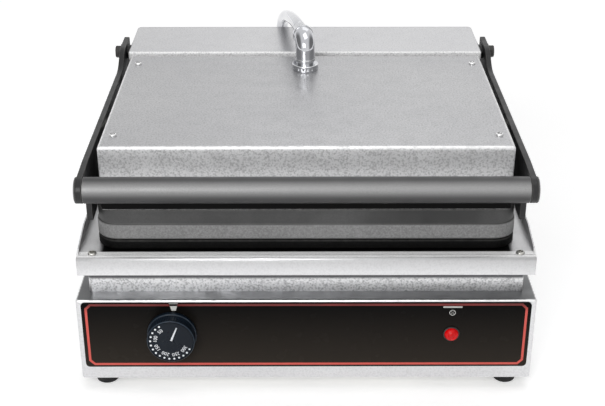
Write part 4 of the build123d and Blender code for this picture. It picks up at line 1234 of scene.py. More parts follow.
@dataclass
class ControlPanel:
    """The black panel with its red border line and the marks printed on it."""

    corner: float = 4 * MM
    ease: float = 0.4 * MM
    film: float = 0.1 * MM
    film_ease: float = 0.02 * MM
    line_side: float = 3.4 * MM
    line_top: float = 1.0 * MM
    line_foot: float = 2.2 * MM
    line_width: float = 2.3 * MM
    line_cut: float = 5 * MM
    tick_rise: float = 24 * MM
    tick_aside: float = 2.5 * MM
    tick_foot: float = 2 * MM
    tick_head: float = 4.2 * MM
    tick_height: float = 8 * MM
    bar_rise: float = 29 * MM
    bar_width: float = 18 * MM
    bar_height: float = 1.8 * MM
    sign_drop: float = 6.2 * MM
    sign_radius: float = 3 * MM
    sign_hole: float = 2.4 * MM
    stroke: float = 4.8 * MM
    stroke_width: float = 0.5 * MM

    def plate(self, box: Box) -> None:
        """The panel's plate.

        Args:
            box: the box round the CAD panel.
        """
        outline = round_rect(box.size[0], box.size[2], self.corner, 8)
        back = (box.middle[0], box.high[1], box.middle[2])
        surface = Surface().slab(outline, box.size[1] - self.film, self.ease, Facing.FRONT, back)
        # Lighter towards the panel's foot: painted reflection of the floor
        film = PrintedFilm(
            "panel_black", (6, 6, 7), (2, 2, 3), roughness=0.24, rough_play=0.05,
            wear_and_light=(60, 58, 55), specular=0.05, low=box.low[2], high=box.high[2],
        )
        make_piece("panel_plate", surface, film, "base", "control_panel")

    def border(self, box: Box) -> None:
        """The red line round the panel: a rectangle with cut corners and the same one inset.

        Args:
            box: the box round the CAD panel.
        """
        half = (box.size[[0, 2]] - [2 * self.line_side, self.line_top + self.line_foot]) / 2
        cut = self.line_cut
        corner = np.array([[half[0], half[1] - cut], [half[0] - cut, half[1]]])
        outline = np.concatenate([corner, corner[::-1] * [-1, 1], -corner, corner[::-1] * [1, -1]])
        inner = shrunk(outline, self.line_width)
        level = box.middle[2] + (self.line_foot - self.line_top) / 2
        origin = (box.middle[0], box.low[1] + self.film, level)
        surface = Surface().band(outline, inner, self.film, Facing.FRONT, origin)
        make_piece("border_line", surface, RED_INK, "base")

    def print_slab(self, surface: Surface, outline: Array, origin: Sequence[float]) -> None:
        """Prints an outline on the panel's face."""
        surface.slab(outline, self.film, self.film_ease, Facing.FRONT, origin)

    def marks(self, box: Box) -> None:
        """A tick over the dial, and a bar with a plain lamp sign over the lamp.

        Args:
            box: the box round the CAD panel.
        """
        face = box.low[1] + self.film
        dial = Box.of("knob").middle
        lamp = Box.of("pilot_lamp_lens").middle
        foot, head, height = self.tick_foot, self.tick_head, self.tick_height
        surface = Surface()
        tick = np.array([[-foot, 0], [foot, 0], [head, height], [-head, height]])
        self.print_slab(surface, tick, (dial[0] + self.tick_aside, face, dial[2] + self.tick_rise))
        bar = round_rect(self.bar_width, self.bar_height, 0.6 * MM, 3)
        self.print_slab(surface, bar, (lamp[0], face, lamp[2] + self.bar_rise))
        sign = (lamp[0], face, lamp[2] + self.bar_rise - self.sign_drop)
        ring, hole = circle(self.sign_radius, 40), circle(self.sign_hole, 40)
        surface.band(ring, hole, self.film, Facing.FRONT, sign)
        for turn in (math.pi / 4, -math.pi / 4):
            spin = np.array([[math.cos(turn), math.sin(turn)], [-math.sin(turn), math.cos(turn)]])
            stroke = round_rect(self.stroke, self.stroke_width, 0.1 * MM, 2) @ spin
            self.print_slab(surface, stroke, sign)
        make_piece("panel_marks", surface, PANEL_INK, "base")

    def build(self) -> None:
        """Builds the panel and what is printed on it."""
        box = Box.of("control_panel")
        self.plate(box)
        self.border(box)
        self.marks(box)


@dataclass
class Dial:
    """The thermostat's knob, with a ring of dots, plain numbers and a pointer on its face."""

    bore: float = 4 * MM
    skirt_rise: float = 4 * MM
    body_step: float = 1 * MM
    flutes: int = 60
    flute_depth: float = 0.35 * MM
    rim: float = 1.6 * MM
    shoulder: float = 1.6 * MM
    dish: float = 0.5 * MM
    film: float = 0.12 * MM
    film_ease: float = 0.04 * MM
    film_sunk: float = 0.02 * MM
    dots: int = 16
    dots_from: float = 122.0
    dots_sweep: float = 212.0
    dot_radius: float = 1.0 * MM
    dot_ring: float = 19.0 * MM
    numbers: int = 6
    number_step: int = 50
    number_size: float = 5.0 * MM
    number_ring: float = 14.2 * MM
    number_inset: float = 8.0
    pointer_turn: float = 68.0
    pointer_from: float = 1 * MM
    pointer_to: float = 16 * MM
    pointer_root: float = 0.9 * MM
    pointer_tip: float = 0.45 * MM

    def body(self, box: Box) -> None:
        """The knob: a plain skirt, a fluted side and a dished face inside a thin rim.

        Args:
            box: the box round the CAD knob.
        """
        origin = (box.middle[0], box.high[1], box.middle[2])
        radius, rise = box.size[0] / 2, box.size[1]
        side = radius - self.body_step
        skirt = self.skirt_rise
        foot = [(self.bore, 0), (radius, 0), (radius, skirt), (side, skirt + 0.4 * MM)]
        profile, wear = soften(foot, [0.4 * MM, 1.0 * MM], 4)
        sides = 6 * self.flutes
        edge = rise - self.shoulder
        flanks = raised(
            np.array([circle(side, sides, self.flutes, self.flute_depth)] * 2),
            np.array([skirt + 0.9 * MM, edge - 0.6 * MM]),
        )
        floor = rise - self.dish
        face = [
            (side, edge), (side, rise), (side - self.rim, rise), (side - self.rim - 0.3 * MM, floor),
            (0.6 * MM, floor),
        ]
        top, top_wear = soften(face, [1.4 * MM, 0.3 * MM, 0.2 * MM], 4)
        rings = np.concatenate([turned(profile, sides), flanks, turned(top, sides)])
        wear_and_light = np.concatenate([wear, [0.2, 0.2], top_wear])
        surface = Surface().skin(placed(rings, Facing.FRONT, origin), wear_and_light)
        make_piece("dial_knob", surface, KNOB_BLACK, "knob", "knob")

    def pointer(self) -> Array:
        """The pointer's outline, a bar from near the middle that narrows outwards.

        It runs clockwise, so slab widens it where it would narrow it, and its faces look inwards.

        Returns:
            Its four points, clockwise.
        """
        aim = math.radians(self.pointer_turn)
        heading = np.array([math.cos(aim), math.sin(aim)])
        across = np.array([-heading[1], heading[0]])
        root, tip = heading * self.pointer_from, heading * self.pointer_to
        wide, narrow = across * self.pointer_root, across * self.pointer_tip
        return np.array([tip + narrow, tip - narrow, root - wide, root + wide])

    def marks(self, box: Box) -> None:
        """The dots, numbers and pointer, a hair above the dished face.

        Args:
            box: the box round the CAD knob.
        """
        level = box.high[1] - (box.size[1] - self.dish - self.film_sunk)
        face = np.array([box.middle[0], level, box.middle[2]])
        turn = np.radians(self.dots_from + np.linspace(0, self.dots_sweep, self.dots))
        surface = Surface()
        for x, z in self.dot_ring * np.stack([np.cos(turn), np.sin(turn)], axis=1):
            dot = circle(self.dot_radius, 14)
            surface.slab(dot, self.film, self.film_ease, Facing.FRONT, face + [x, 0, z])
        span = (self.number_inset, self.dots_sweep - self.number_inset)
        angles = np.radians(self.dots_from + np.linspace(*span, self.numbers))
        ring = self.number_ring
        words = [
            (str(self.number_step * (i + 1)), ring * math.cos(a), ring * math.sin(a), a - math.pi / 2)
            for i, a in enumerate(angles)
        ]
        surface.join(lettering(words, self.number_size, self.film), Facing.FRONT, face)
        surface.slab(self.pointer(), self.film, self.film_ease, Facing.FRONT, face)
        make_piece("dial_marks", surface, WHITE_INK, "knob")

    def build(self) -> None:
        """Builds the knob and its marks."""
        box = Box.of("knob")
        self.body(box)
        self.marks(box)


@dataclass
class PilotLamp:
    """The red lamp: a dark ring that holds a domed lens with stepped rings."""

    ring_width: float = 0.8 * MM
    ring_rise: float = 1.7 * MM
    lip: float = 0.4 * MM
    foot: float = 0.9 * MM
    steps: int = 4
    step_depth: float = 0.16 * MM
    plain: float = 1 * MM

    def build(self) -> None:
        """Builds the ring and the lens.

        The lens is a dome, height = foot + (rise - foot) * sqrt(1 - (r / radius)^2), less a small
        saw tooth.
        """
        box = Box.of("pilot_lamp_lens")
        seat = (box.middle[0], box.high[1], box.middle[2])
        radius, rise = box.size[0] / 2, box.size[1]
        inside = radius - self.ring_width
        section = [
            (inside - self.lip, 0), (radius, 0), (radius, self.ring_rise), (inside, self.ring_rise),
            (inside - self.lip, self.foot),
        ]
        ring = Surface().lathe(section, [0.1 * MM, 0.35 * MM, 0.2 * MM], Facing.FRONT, seat, 3)
        make_piece("lamp_ring", ring, DARK_PLASTIC, "base")
        r = np.linspace(inside, 0.3 * MM, 34)
        saw = (r / inside * self.steps) % 1 * self.step_depth * (r > self.plain)
        dome = self.foot + (rise - self.foot) * np.sqrt(np.maximum(1 - (r / inside) ** 2, 0)) - saw
        heights = np.maximum(dome, self.foot)
        profile = np.concatenate([[[inside, 0]], np.stack([r, heights], axis=1)])
        lens = Surface().skin(placed(turned(profile), Facing.FRONT, seat), 0.0)
        make_piece("lamp_lens", lens, LENS, "base", "pilot_lamp_lens")


# The deck on its riser


@dataclass
class Deck:
    """The folded deck: a top with an opening, a rolled front lip, side walls with rims."""

    sheet: float = 1.5 * MM
    roll: float = 5 * MM
    hem: float = 1.4 * MM
    hem_rise: float = 3 * MM
    seam: float = 0.9 * MM
    gap: float = 0.1 * MM
    rim_start: float = 6 * MM
    rim_start_rise: float = 1.7 * MM
    rim_run: float = 47 * MM
    screw_radius: float = 4 * MM
    screw_rise: float = 2 * MM
    plate_flange: float = 8 * MM
    opening_play: float = 1 * MM
    opening_corner: float = 14 * MM

    def top(self, box: Box, level: float) -> Surface:
        """The flat top round the plate's opening.

        Args:
            box: the box round the CAD deck.
            level: the height of the deck's flat.

        Returns:
            A surface that holds it.
        """
        plate = Box.of("lower_plate")
        size = plate.size - 2 * (self.plate_flange - self.opening_play)
        inner = round_rect(size[0], size[1], self.opening_corner) + plate.middle[:2]
        front = box.low[1] + self.roll + self.seam
        outer = round_rect(box.size[0] - self.sheet, box.high[1] - front, 0.5 * MM)
        outer = outer + [box.middle[0], (front + box.high[1]) / 2]
        return Surface().band(outer, inner, self.sheet, Facing.UP, (0, 0, level - self.sheet))

    def lip(self, surface: Surface, box: Box, level: float) -> None:
        """The rolled front: one sheet section, rolled at the top and hemmed at its foot.

        Args:
            surface: the surface that takes it.
            box: the box round the CAD deck.
            level: the height of the deck's flat.
        """
        front, foot = box.low[1], box.low[2]
        t = self.sheet
        fold = front + 2 * self.hem
        outer = [
            (front + self.roll, level), (front, level), (front, foot), (fold + t, foot),
            (fold + t, foot + self.hem_rise),
        ]
        outside, _ = soften(outer, [self.roll, self.hem, self.hem], 7)
        back = [
            (fold, foot + self.hem_rise), (fold, foot + t), (front + t, foot + t),
            (front + t, level - t), (front + self.roll, level - t),
        ]
        inside, _ = soften(back, [0.4 * MM, 0.4 * MM, self.roll - t], 7)
        outline = np.concatenate([outside, inside])
        width = box.size[0]
        ease = 0.4 * MM
        ends = np.array([0.0, ease, width - ease, width])
        insets = [0.25 * MM, 0, 0, 0.25 * MM]
        rings = raised(np.array([shrunk(outline, i) for i in insets]), ends)
        wear = np.array([0.6, 0, 0, 0.6])
        surface.skin(placed(rings, Facing.RIGHT, (box.low[0], 0, 0)), wear)

    def walls(self, surface: Surface, box: Box, level: float) -> None:
        """The side walls, whose rims rise behind the lip, and the rear wall.

        Args:
            surface: the surface that takes them.
            box: the box round the CAD deck.
            level: the height of the deck's flat.
        """
        front, foot = box.low[1], box.low[2]
        back, head = box.high[1], box.high[2]
        behind = front + self.sheet + self.gap
        hem_back = front + 2 * self.hem + self.sheet + self.gap
        hem_top = foot + self.hem_rise + self.gap
        under = level - self.sheet - self.gap
        outline = [
            (hem_back, foot), (back, foot), (back, head), (front + self.rim_run, head),
            (front + self.rim_start, level + self.rim_start_rise), (front + self.roll, under),
            (behind, under), (behind, hem_top), (hem_back, hem_top),
        ]
        corners = [*outline[-1:], *outline, outline[0]]
        radii = [0.5, 0.6, 0.6, 2, 0.8, 0.5, 2.6, 0.3, 0.3]
        profile, _ = soften(corners, np.array(radii) * MM, 4)
        for x in (box.low[0], box.high[0] - self.sheet):
            surface.slab(profile[1:-1], self.sheet, 0.25 * MM, Facing.RIGHT, (x, 0, 0))
        rear = round_rect(box.size[0] - 2 * self.sheet, level - foot, 0.5 * MM)
        middle = (box.middle[0], back - self.sheet, (level + foot) / 2)
        surface.slab(rear, self.sheet, 0.3 * MM, Facing.REAR, middle)

    def build(self) -> None:
        """Builds the deck and its screws."""
        box = Box.of("deck")
        level = Box.of("deck_screws").high[2] - self.screw_rise
        surface = self.top(box, level)
        self.lip(surface, box, level)
        self.walls(surface, box, level)
        make_piece("folded_deck", surface, DECK_STEEL, "base", "deck")
        heads = four_heads("deck_screws", level, self.screw_radius)
        make_piece("deck_screw_heads", heads, ZINC, "base", "deck_screws")


# The cast plates


@dataclass
class CastPlates:
    """The two ribbed cast plates that close on the food."""

    corner: float = 21 * MM
    edge: float = 2.2 * MM
    flange: float = 8 * MM
    flange_rise: float = 9 * MM
    border: float = 16 * MM
    shelf: float = 12 * MM
    pitch: float = 9.6 * MM
    land: float = 3 * MM
    depth: float = 3.5 * MM
    ramp: float = 9 * MM
    block: float = 5 * MM
    pocket: float = 6 * MM
    band_rise: float = 15 * MM
    band_step: float = 1.2 * MM
    wall: float = 8 * MM
    floor: float = 12 * MM
    cap_inset: float = 20 * MM
    grain: float = 650.0

    def ribs(self, width: float, run: float) -> tuple[Array, Array, Array]:
        """The relief of the ribs about zero.

        Across the ribs the depth is a rounded V, depth * (1 + cos(groove angle)) / 2 between the
        flat lands, and towards both ends it fades out as a smooth step.

        Args:
            width: the ribbed field's width.
            run: the ribs' length.

        Returns:
            The columns, the rows and the height at each, zero on the lands.
        """
        count = int(width / self.pitch)
        used = count * self.pitch
        x = np.linspace(-used / 2, used / 2, 12 * count + 1)
        off = (x + used / 2) % self.pitch - self.pitch / 2
        groove = self.pitch - self.land
        cut = np.where(np.abs(off) < groove / 2, (1 + np.cos(2 * np.pi * off / groove)) / 2, 0)
        y = np.concatenate([
            np.linspace(-run / 2, -run / 2 + self.ramp, 8),
            np.linspace(run / 2 - self.ramp, run / 2, 8),
        ])
        near = np.clip((run / 2 - np.abs(y)) / self.ramp, 0, 1)
        fade = near * near * (3 - 2 * near)
        return x, y, -self.depth * cut[:, None] * fade[None]

    def cast(self, box: Box, section: Sequence, radii: Sequence[float], facing: Facing) -> Surface:
        """One plate: a block with the ribs, let into a pocket in a body with a given section.

        Args:
            box: the box round the CAD plate.
            section: the body's corners as (inset, height), ending or starting at the ribs.
            radii: the rounding of each inner corner.
            facing: UP where the ribs are on top, with the section ending at them, or DOWN.

        Returns:
            A surface that holds the block and the body.
        """
        upwards = facing is Facing.UP
        level = box.high[2] if upwards else box.low[2]
        width, depth = box.size[:2]
        x, y, height = self.ribs(width - 2 * self.border, depth - 2 * self.border)
        surface = Surface()
        block = Surface().relief(x, y, height, -self.block)
        surface.join(block, facing, (box.middle[0], box.middle[1], level))
        profile, wear = soften(section, radii)
        body = rect_stack(width, depth, self.corner, profile)
        rect = round_rect(x[-1] - x[0], y[-1] - y[0], 0.05 * MM)
        floor = level - self.pocket if upwards else level + self.pocket
        heights = [level, floor] if upwards else [floor, level]
        pocket = raised(np.array([rect, rect]), np.array(heights))
        rings = [body, pocket] if upwards else [pocket, body]
        wear_and_light = [wear, [0, 0]] if upwards else [[0, 0], wear]
        return surface.skin(placed(np.concatenate(rings), Facing.UP, box.stand), np.concatenate(wear_and_light))

    def lower(self) -> None:
        """The lower plate: its body hangs through the deck and its flange rests on it."""
        box = Box.of("lower_plate")
        foot, top = box.low[2], box.high[2]
        seat = top - self.flange_rise
        section = [
            (self.flange + self.cap_inset, foot), (self.flange, foot), (self.flange, seat), (0, seat),
            (0, top), (self.shelf, top),
        ]
        radii = [1.5 * MM, 0.5 * MM, 0.8 * MM, self.edge]
        surface = self.cast(box, section, radii, Facing.UP)
        # Darker than the upper plate's iron, and near black on its side from the flange's seat to near
        # its top: painted shade under the upper plate
        iron = CastMetal(
            "cast_plate", (30, 30, 30), (14, 14, 14), grain=self.grain, wear_and_light=(64, 63, 62),
            specular=0.12, shading_band_low=seat, shading_band_high=top - 1.5 * MM, shading_band_tone=(4, 4, 4),
        )
        make_piece("lower_grill_plate", surface, iron, "base", "lower_plate")

    def upper(self) -> None:
        """The upper plate: a lower band, a step in and a hollow back for the element."""
        box = Box.of("upper_plate")
        face, back = box.low[2], box.high[2]
        step, inner = self.band_step, self.band_step + self.wall
        band_top = face + self.band_rise
        section = [
            (self.shelf, face), (0, face), (0, band_top), (step, band_top + 1 * MM), (step, back),
            (inner, back), (inner, face + self.floor), (inner + self.cap_inset, face + self.floor),
        ]
        radii = [self.edge, 0.9 * MM, 0.5 * MM, 1.4 * MM, 1 * MM, 2 * MM]
        surface = self.cast(box, section, radii, Facing.DOWN)
        # Its side's lower band is painted paler than the part above: painted light, the part above
        # being in the handle's shade
        iron = CastMetal(
            "cast_plate", (84, 84, 84), (56, 56, 56), grain=self.grain, wear_and_light=(104, 103, 102),
            specular=0.3, shading_band_low=face + 1 * MM, shading_band_high=band_top,
        )
        make_piece("upper_grill_plate", surface, iron, "lid", "upper_plate")

    def build(self) -> None:
        """Builds both plates."""
        self.lower()
        self.upper()


# The lid's cover


@dataclass
class LidCover:
    """The folded steel cover over the upper plate, with its four screws."""

    wall: float = 1.5 * MM
    bend: float = 3 * MM
    corner: float = 1.6 * MM
    inward: float = 70 * MM
    screw_radius: float = 3.5 * MM

    def build(self) -> None:
        """Builds the cover and its screws."""
        box = Box.of("lid_cover")
        radii = [self.bend - self.wall, 0.5 * MM, 0.5 * MM, self.bend]
        surface = open_box(box, self.corner, self.wall, self.inward, radii, 7)
        make_piece("cover_shell", surface, COVER_STEEL, "lid", "lid_cover")
        heads = four_heads("cover_screws", box.high[2], self.screw_radius)
        make_piece("cover_screw_heads", heads, SCREW_STEEL, "lid", "cover_screws")


# The arms, the handle and the hinge


@dataclass
class Arms:
    """The two flat arms, the grip between them, and the bolts and nuts that show on them."""

    ease: float = 0.8 * MM
    ear_front: float = 22 * MM
    root: float = 44 * MM
    heel_back: float = 17 * MM
    round_by: float = 6 * MM
    top_drop: float = 13.3 * MM
    ear_rise: float = 2.7 * MM
    ear_drop: float = 26.3 * MM
    sleeve: float = 14 * MM
    bore: float = 3 * MM
    cap: float = 1.8 * MM
    cap_hub: float = 2 * MM
    highlight_at: float = 150.0
    bolt_rise: float = 3 * MM
    shank: float = 4 * MM
    shank_run: float = 20 * MM
    nut_across: float = 12 * MM
    nut_rise: float = 6 * MM
    washer_rise: float = 1.5 * MM

    def outline(self) -> Array:
        """An arm's side view: the eye's half circle, then softened corners back to it.

        Returns:
            Points of (Y, Z), counter-clockwise seen from the right.
        """
        arm = Box.of("right_arm")
        grip = Box.of("handle_grip")
        hinge_y = Box.of("hinge_washers").middle[1]
        hanger_y = Box.of("hanger_bolts").middle[1]
        _, eye_y, eye_z = grip.middle
        reach = grip.size[2] / 2
        heel_y = Box.of("base_shell").low[1] + self.heel_back
        heel_z = arm.low[2]
        back, head = arm.high[1], arm.high[2]
        lid_top = head - self.ear_rise
        arm_top = lid_top - self.top_drop
        ear_foot = lid_top - self.ear_drop
        ear_y = hinge_y - self.ear_front
        by = self.round_by
        corners = [
            (eye_y, eye_z - reach), (heel_y, eye_z - reach - by), (heel_y, heel_z),
            (heel_y + 3 * by, heel_z), (hanger_y - self.sleeve, heel_z + 2 * by),
            (ear_y - by, ear_foot - 2 * by), (back, ear_foot), (back, head), (ear_y, head),
            (hinge_y - self.root, arm_top), (heel_y, arm_top), (eye_y, eye_z + reach),
        ]
        radii = [2, 2.5, 6, 20, 14, 3, 3, 8, 12, 6]
        sides, _ = soften(corners, np.array(radii) * MM, 6)
        turn = np.linspace(np.pi / 2, 3 * np.pi / 2, 18)[1:-1]
        eye = np.stack([eye_y + reach * np.cos(turn), eye_z + reach * np.sin(turn)], axis=1)
        return np.concatenate([sides, eye])

    def arms(self) -> None:
        """Both arms, as plates with eased edges."""
        outline = self.outline()
        for side in ("left", "right"):
            box = Box.of(f"{side}_arm")
            seat = (box.low[0], 0, 0)
            surface = Surface().slab(outline, box.size[0], self.ease, Facing.RIGHT, seat)
            make_piece(f"{side}_side_arm", surface, ARM_PAINT, "arms", f"{side}_arm")

    def handle(self) -> None:
        """The round grip, with a painted highlight along its front, and the caps outside the arms.

        The painted highlight round the grip is cos(angle)^7 from a line 30 degrees above the front,
        and zero where that cosine is below zero.
        """
        box = Box.of("handle_grip")
        radius, length = box.size[2] / 2, box.size[0]
        sides = 64
        section = [(self.bore, 0), (radius, 0), (radius, length), (self.bore, length)]
        profile, wear = soften(section, 1.2 * MM)
        turn = np.linspace(0, 2 * np.pi, sides, endpoint=False)
        # A painted highlight along the grip's front, laid in the wear attribute beside the edge wear
        lit_and_rubbed = np.maximum(np.cos(turn - math.radians(self.highlight_at)), 0) ** 7
        wear_and_light = np.maximum(0.3 * wear[:, None], lit_and_rubbed)
        start = (box.low[0], *box.middle[1:])
        grip = Surface().skin(placed(turned(profile, sides), Facing.RIGHT, start), wear_and_light)
        make_piece("handle_bar", grip, GRIP, "arms", "handle_grip")
        caps = Surface()
        section = [(self.bore, 0), (radius, 0), (radius, self.cap), (self.cap_hub, self.cap)]
        for facing, seat in Box.of("handle_end_screws").ends(self.cap):
            caps.lathe(section, [0.1 * MM, 1.3 * MM], facing, seat, sides=sides)
        make_piece("handle_caps", caps, GRIP, "arms", "handle_end_screws")

    def bolts(self) -> None:
        """The lid's hanger bolts, each a head with its shank behind it."""
        box = Box.of("hanger_bolts")
        surface = Surface()
        full, end = self.shank, -self.shank_run
        shank = [(full - 0.1 * MM, end), (full, end + 1 * MM), (full, 0)]
        for facing, seat in box.ends(self.bolt_rise):
            button_head(surface, seat, facing, box.size[2] / 2, self.bolt_rise)
            surface.lathe(shank, 0.3 * MM, facing, seat, 2, 32)
        make_piece("hanger_bolt_heads", surface, ZINC, "lid", "hanger_bolts")

    def nuts(self) -> None:
        """The nuts and washers on the ends of the hinge shaft."""
        nuts = Surface()
        for facing, seat in Box.of("hinge_nuts").ends(self.nut_rise):
            hex_nut(nuts, seat, facing, self.nut_across, self.nut_rise)
        make_piece("hinge_nut_pair", nuts, ARM_PAINT, "arms", "hinge_nuts")
        box = Box.of("hinge_washers")
        radius, rise = box.size[2] / 2, self.washer_rise
        section = [(self.bore, 0), (radius, 0), (radius, rise), (self.bore, rise)]
        washers = Surface()
        for facing, seat in box.ends(rise):
            washers.lathe(section, 0.35 * MM, facing, seat, 3)
        make_piece("hinge_washer_pair", washers, ARM_PAINT, "arms", "hinge_washers")

    def build(self) -> None:
        """Builds the arms, the handle and the fasteners."""
        self.arms()
        self.handle()
        self.bolts()
        self.nuts()


# The conduit and its elbows


@dataclass
class Conduit:
    """The chrome conduit from the lid over the rear housing to the rear wall, and its elbows.

    The places in bends are the corners of its long stretch, given as X, the distance
    behind the base's front, and Z, all in millimetres.
    """

    radius: float = 6.5 * MM
    neck: float = 9 * MM
    sleeve: float = 10.5 * MM
    waist: float = 0.7 * MM
    collar: float = 5 * MM
    bend: float = 12 * MM
    reach: float = 18 * MM
    nut_radius: float = 13.5 * MM
    nut_bore: float = 6 * MM
    nut_rise: float = 6.5 * MM
    nut_flutes: int = 18
    nut_flute_depth: float = 0.6 * MM
    lid_turn: float = 9.0
    joint: float = 20 * MM
    first_run: float = 34 * MM
    last_run: float = 40 * MM
    blend_end: float = 368 * MM
    bends: tuple[Triple, ...] = (
        (-15, 308, 275.5), (-21, 341, 267.5), (-25, 369, 254), (-27, 385, 228), (-27.5, 388, 188),
    )

    def elbow_line(self, rise: float) -> Array:
        """An elbow's middle line in its own plane: up, a quarter circle, and out.

        Args:
            rise: how high the outlet's axis stands over the seat.

        Returns:
            Points of (out, 0, up).
        """
        t = np.linspace(0, np.pi / 2, 24)
        up = np.linspace(0, rise - self.bend, 8)[:-1]
        out = np.linspace(self.bend, self.reach, 5)[1:]
        x = np.concatenate([0 * up, self.bend * (1 - np.cos(t)), out])
        z = np.concatenate([up, rise - self.bend + self.bend * np.sin(t), 0 * out + rise])
        return np.stack([x, 0 * x, z], axis=1)

    def elbow(self, name: str, rise: float, axes: Array, origin: Array, body: str, node: str) -> None:
        """One elbow fitting: a neck, a wider sleeve round the bend, and a collar at its mouth.

        Args:
            name: the piece's name.
            rise: how high the outlet's axis stands over the seat.
            axes: where its outlet, its side and its stem point, one to a row.
            origin: the middle of its seat.
            body: the CAD body it rides on.
            node: the CAD node it replaces.
        """
        line = self.elbow_line(rise) @ axes + origin
        length = travel(line)[-1]
        start = self.nut_rise + 3 * MM
        step = start + 2.4 * MM
        mouth = length - self.collar
        ring, waist = self.sleeve, self.sleeve - self.waist
        corners = [
            (0, self.neck), (start, self.neck), (start, ring), (step, ring), (step, waist),
            (mouth, waist), (mouth, ring), (length, ring), (length, self.radius + 0.4 * MM),
        ]
        radii = [0.4, 0.6, 0.6, 0.3, 0.3, 0.6, 0.9]
        spots, wear = soften(corners, np.array(radii) * MM, 4)
        count = 26
        along = np.linspace(start + 5 * MM, mouth - 2 * MM, count)
        mid = np.stack([along, np.full(count, waist)], axis=1)
        split = int(np.searchsorted(spots[:, 0], along[0]))
        profile = np.concatenate([spots[:split], mid, spots[split:]])
        wear_and_light = np.concatenate([wear[:split], np.zeros(count), wear[split:]])
        surface = Surface().skin(carried(line, profile, axes[1], 40), wear_and_light)
        make_piece(name, surface, CHROME, body, node)

    def nut(self, name: str, facing: Facing, origin: Array, body: str, node: str) -> None:
        """The round collar nut under an elbow, with shallow flutes for the grip.

        Args:
            name: the piece's name.
            facing: which way its face looks.
            origin: the middle of its seat.
            body: the CAD body it rides on.
            node: the CAD node it replaces.
        """
        rise, radius, bore = self.nut_rise, self.nut_radius, self.nut_bore
        sides = 8 * self.nut_flutes
        lip, plain = 1.6 * MM, 2.1 * MM
        foot, foot_wear = soften([(bore, 0), (radius, 0), (radius, lip)], 0.5 * MM, 3)
        face, face_wear = soften([(radius, rise - lip), (radius, rise), (bore, rise)], 0.9 * MM, 4)
        fluted = circle(radius, sides, self.nut_flutes, self.nut_flute_depth)
        grip = raised(np.array([fluted] * 2), np.array([plain, rise - plain]))
        rings = np.concatenate([turned(foot, sides), grip, turned(face, sides)])
        wear_and_light = np.concatenate([foot_wear, [0.3, 0.3], face_wear])
        make_piece(name, Surface().skin(placed(rings, facing, origin), wear_and_light), CHROME, body, node)

    def tube(self, name: str, line: Array) -> bpy.types.Object:
        """A stretch of the conduit.

        Args:
            name: the piece's name.
            line: the points of its middle.

        Returns:
            The piece, which rides on no body.
        """
        length = travel(line)[-1]
        stations = max(12, int(length / (2.5 * MM)))
        inset = 0.4 * MM
        s = np.concatenate([[0], np.linspace(inset, length - inset, stations), [length]])
        radius = np.full(len(s), self.radius)
        radius[[0, -1]] -= inset
        rings = carried(line, np.stack([s, radius], axis=1), (1, 0, 0))
        node = name.replace("conduit_tube", "conduit")
        return make_piece(name, Surface().skin(rings), CHROME, None, node)

    def build(self) -> None:
        """Builds the elbows, their nuts and the two stretches of conduit."""
        base = Box.of("base_shell")
        lid_top = Box.of("lid_cover").high[2]
        turn = math.radians(self.lid_turn)
        mouth_way = np.array([-math.sin(turn), math.cos(turn), 0])
        across = np.array([-math.cos(turn), -math.sin(turn), 0])
        up, back = np.array([0.0, 0.0, 1.0]), np.array([0.0, 1.0, 0.0])
        seat = np.array([*Box.of("lid_elbow_nuts").middle[:2], lid_top])
        rise = Box.of("lid_elbow").high[2] - self.sleeve - lid_top
        axes = np.array([mouth_way, across, up])
        self.elbow("lid_elbow_fitting", rise, axes, seat, "lid", "lid_elbow")
        self.nut("lid_collar_nut", Facing.UP, seat, "lid", "lid_elbow_nuts")
        elbow = Box.of("rear_elbow")
        rear_rise = elbow.high[1] - self.sleeve - base.high[1]
        rear_seat = np.array([elbow.middle[0], base.high[1], elbow.high[2] - self.reach])
        axes = np.array([up, [1, 0, 0], back])
        self.elbow("rear_elbow_fitting", rear_rise, axes, rear_seat, "base", "rear_elbow")
        self.nut("rear_collar_nut", Facing.REAR, rear_seat, "base", "rear_elbow_nuts")
        mouth = seat + up * rise + mouth_way * self.reach
        joint = mouth + mouth_way * self.joint
        ahead = np.linspace(0, 1, 12)[:, None]
        first = self.tube("conduit_tube_front", mouth + (joint - mouth) * ahead)
        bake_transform(first)
        front = base.low[1]
        rear_mouth = rear_seat + up * self.reach + back * rear_rise
        corners = [joint, mouth + mouth_way * self.first_run]
        corners += [np.array([x, front / MM + y, z]) * MM for x, y, z in self.bends]
        corners += [rear_mouth + up * self.last_run, rear_mouth]
        rest = self.tube("conduit_tube_rear", route(corners))
        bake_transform(rest)


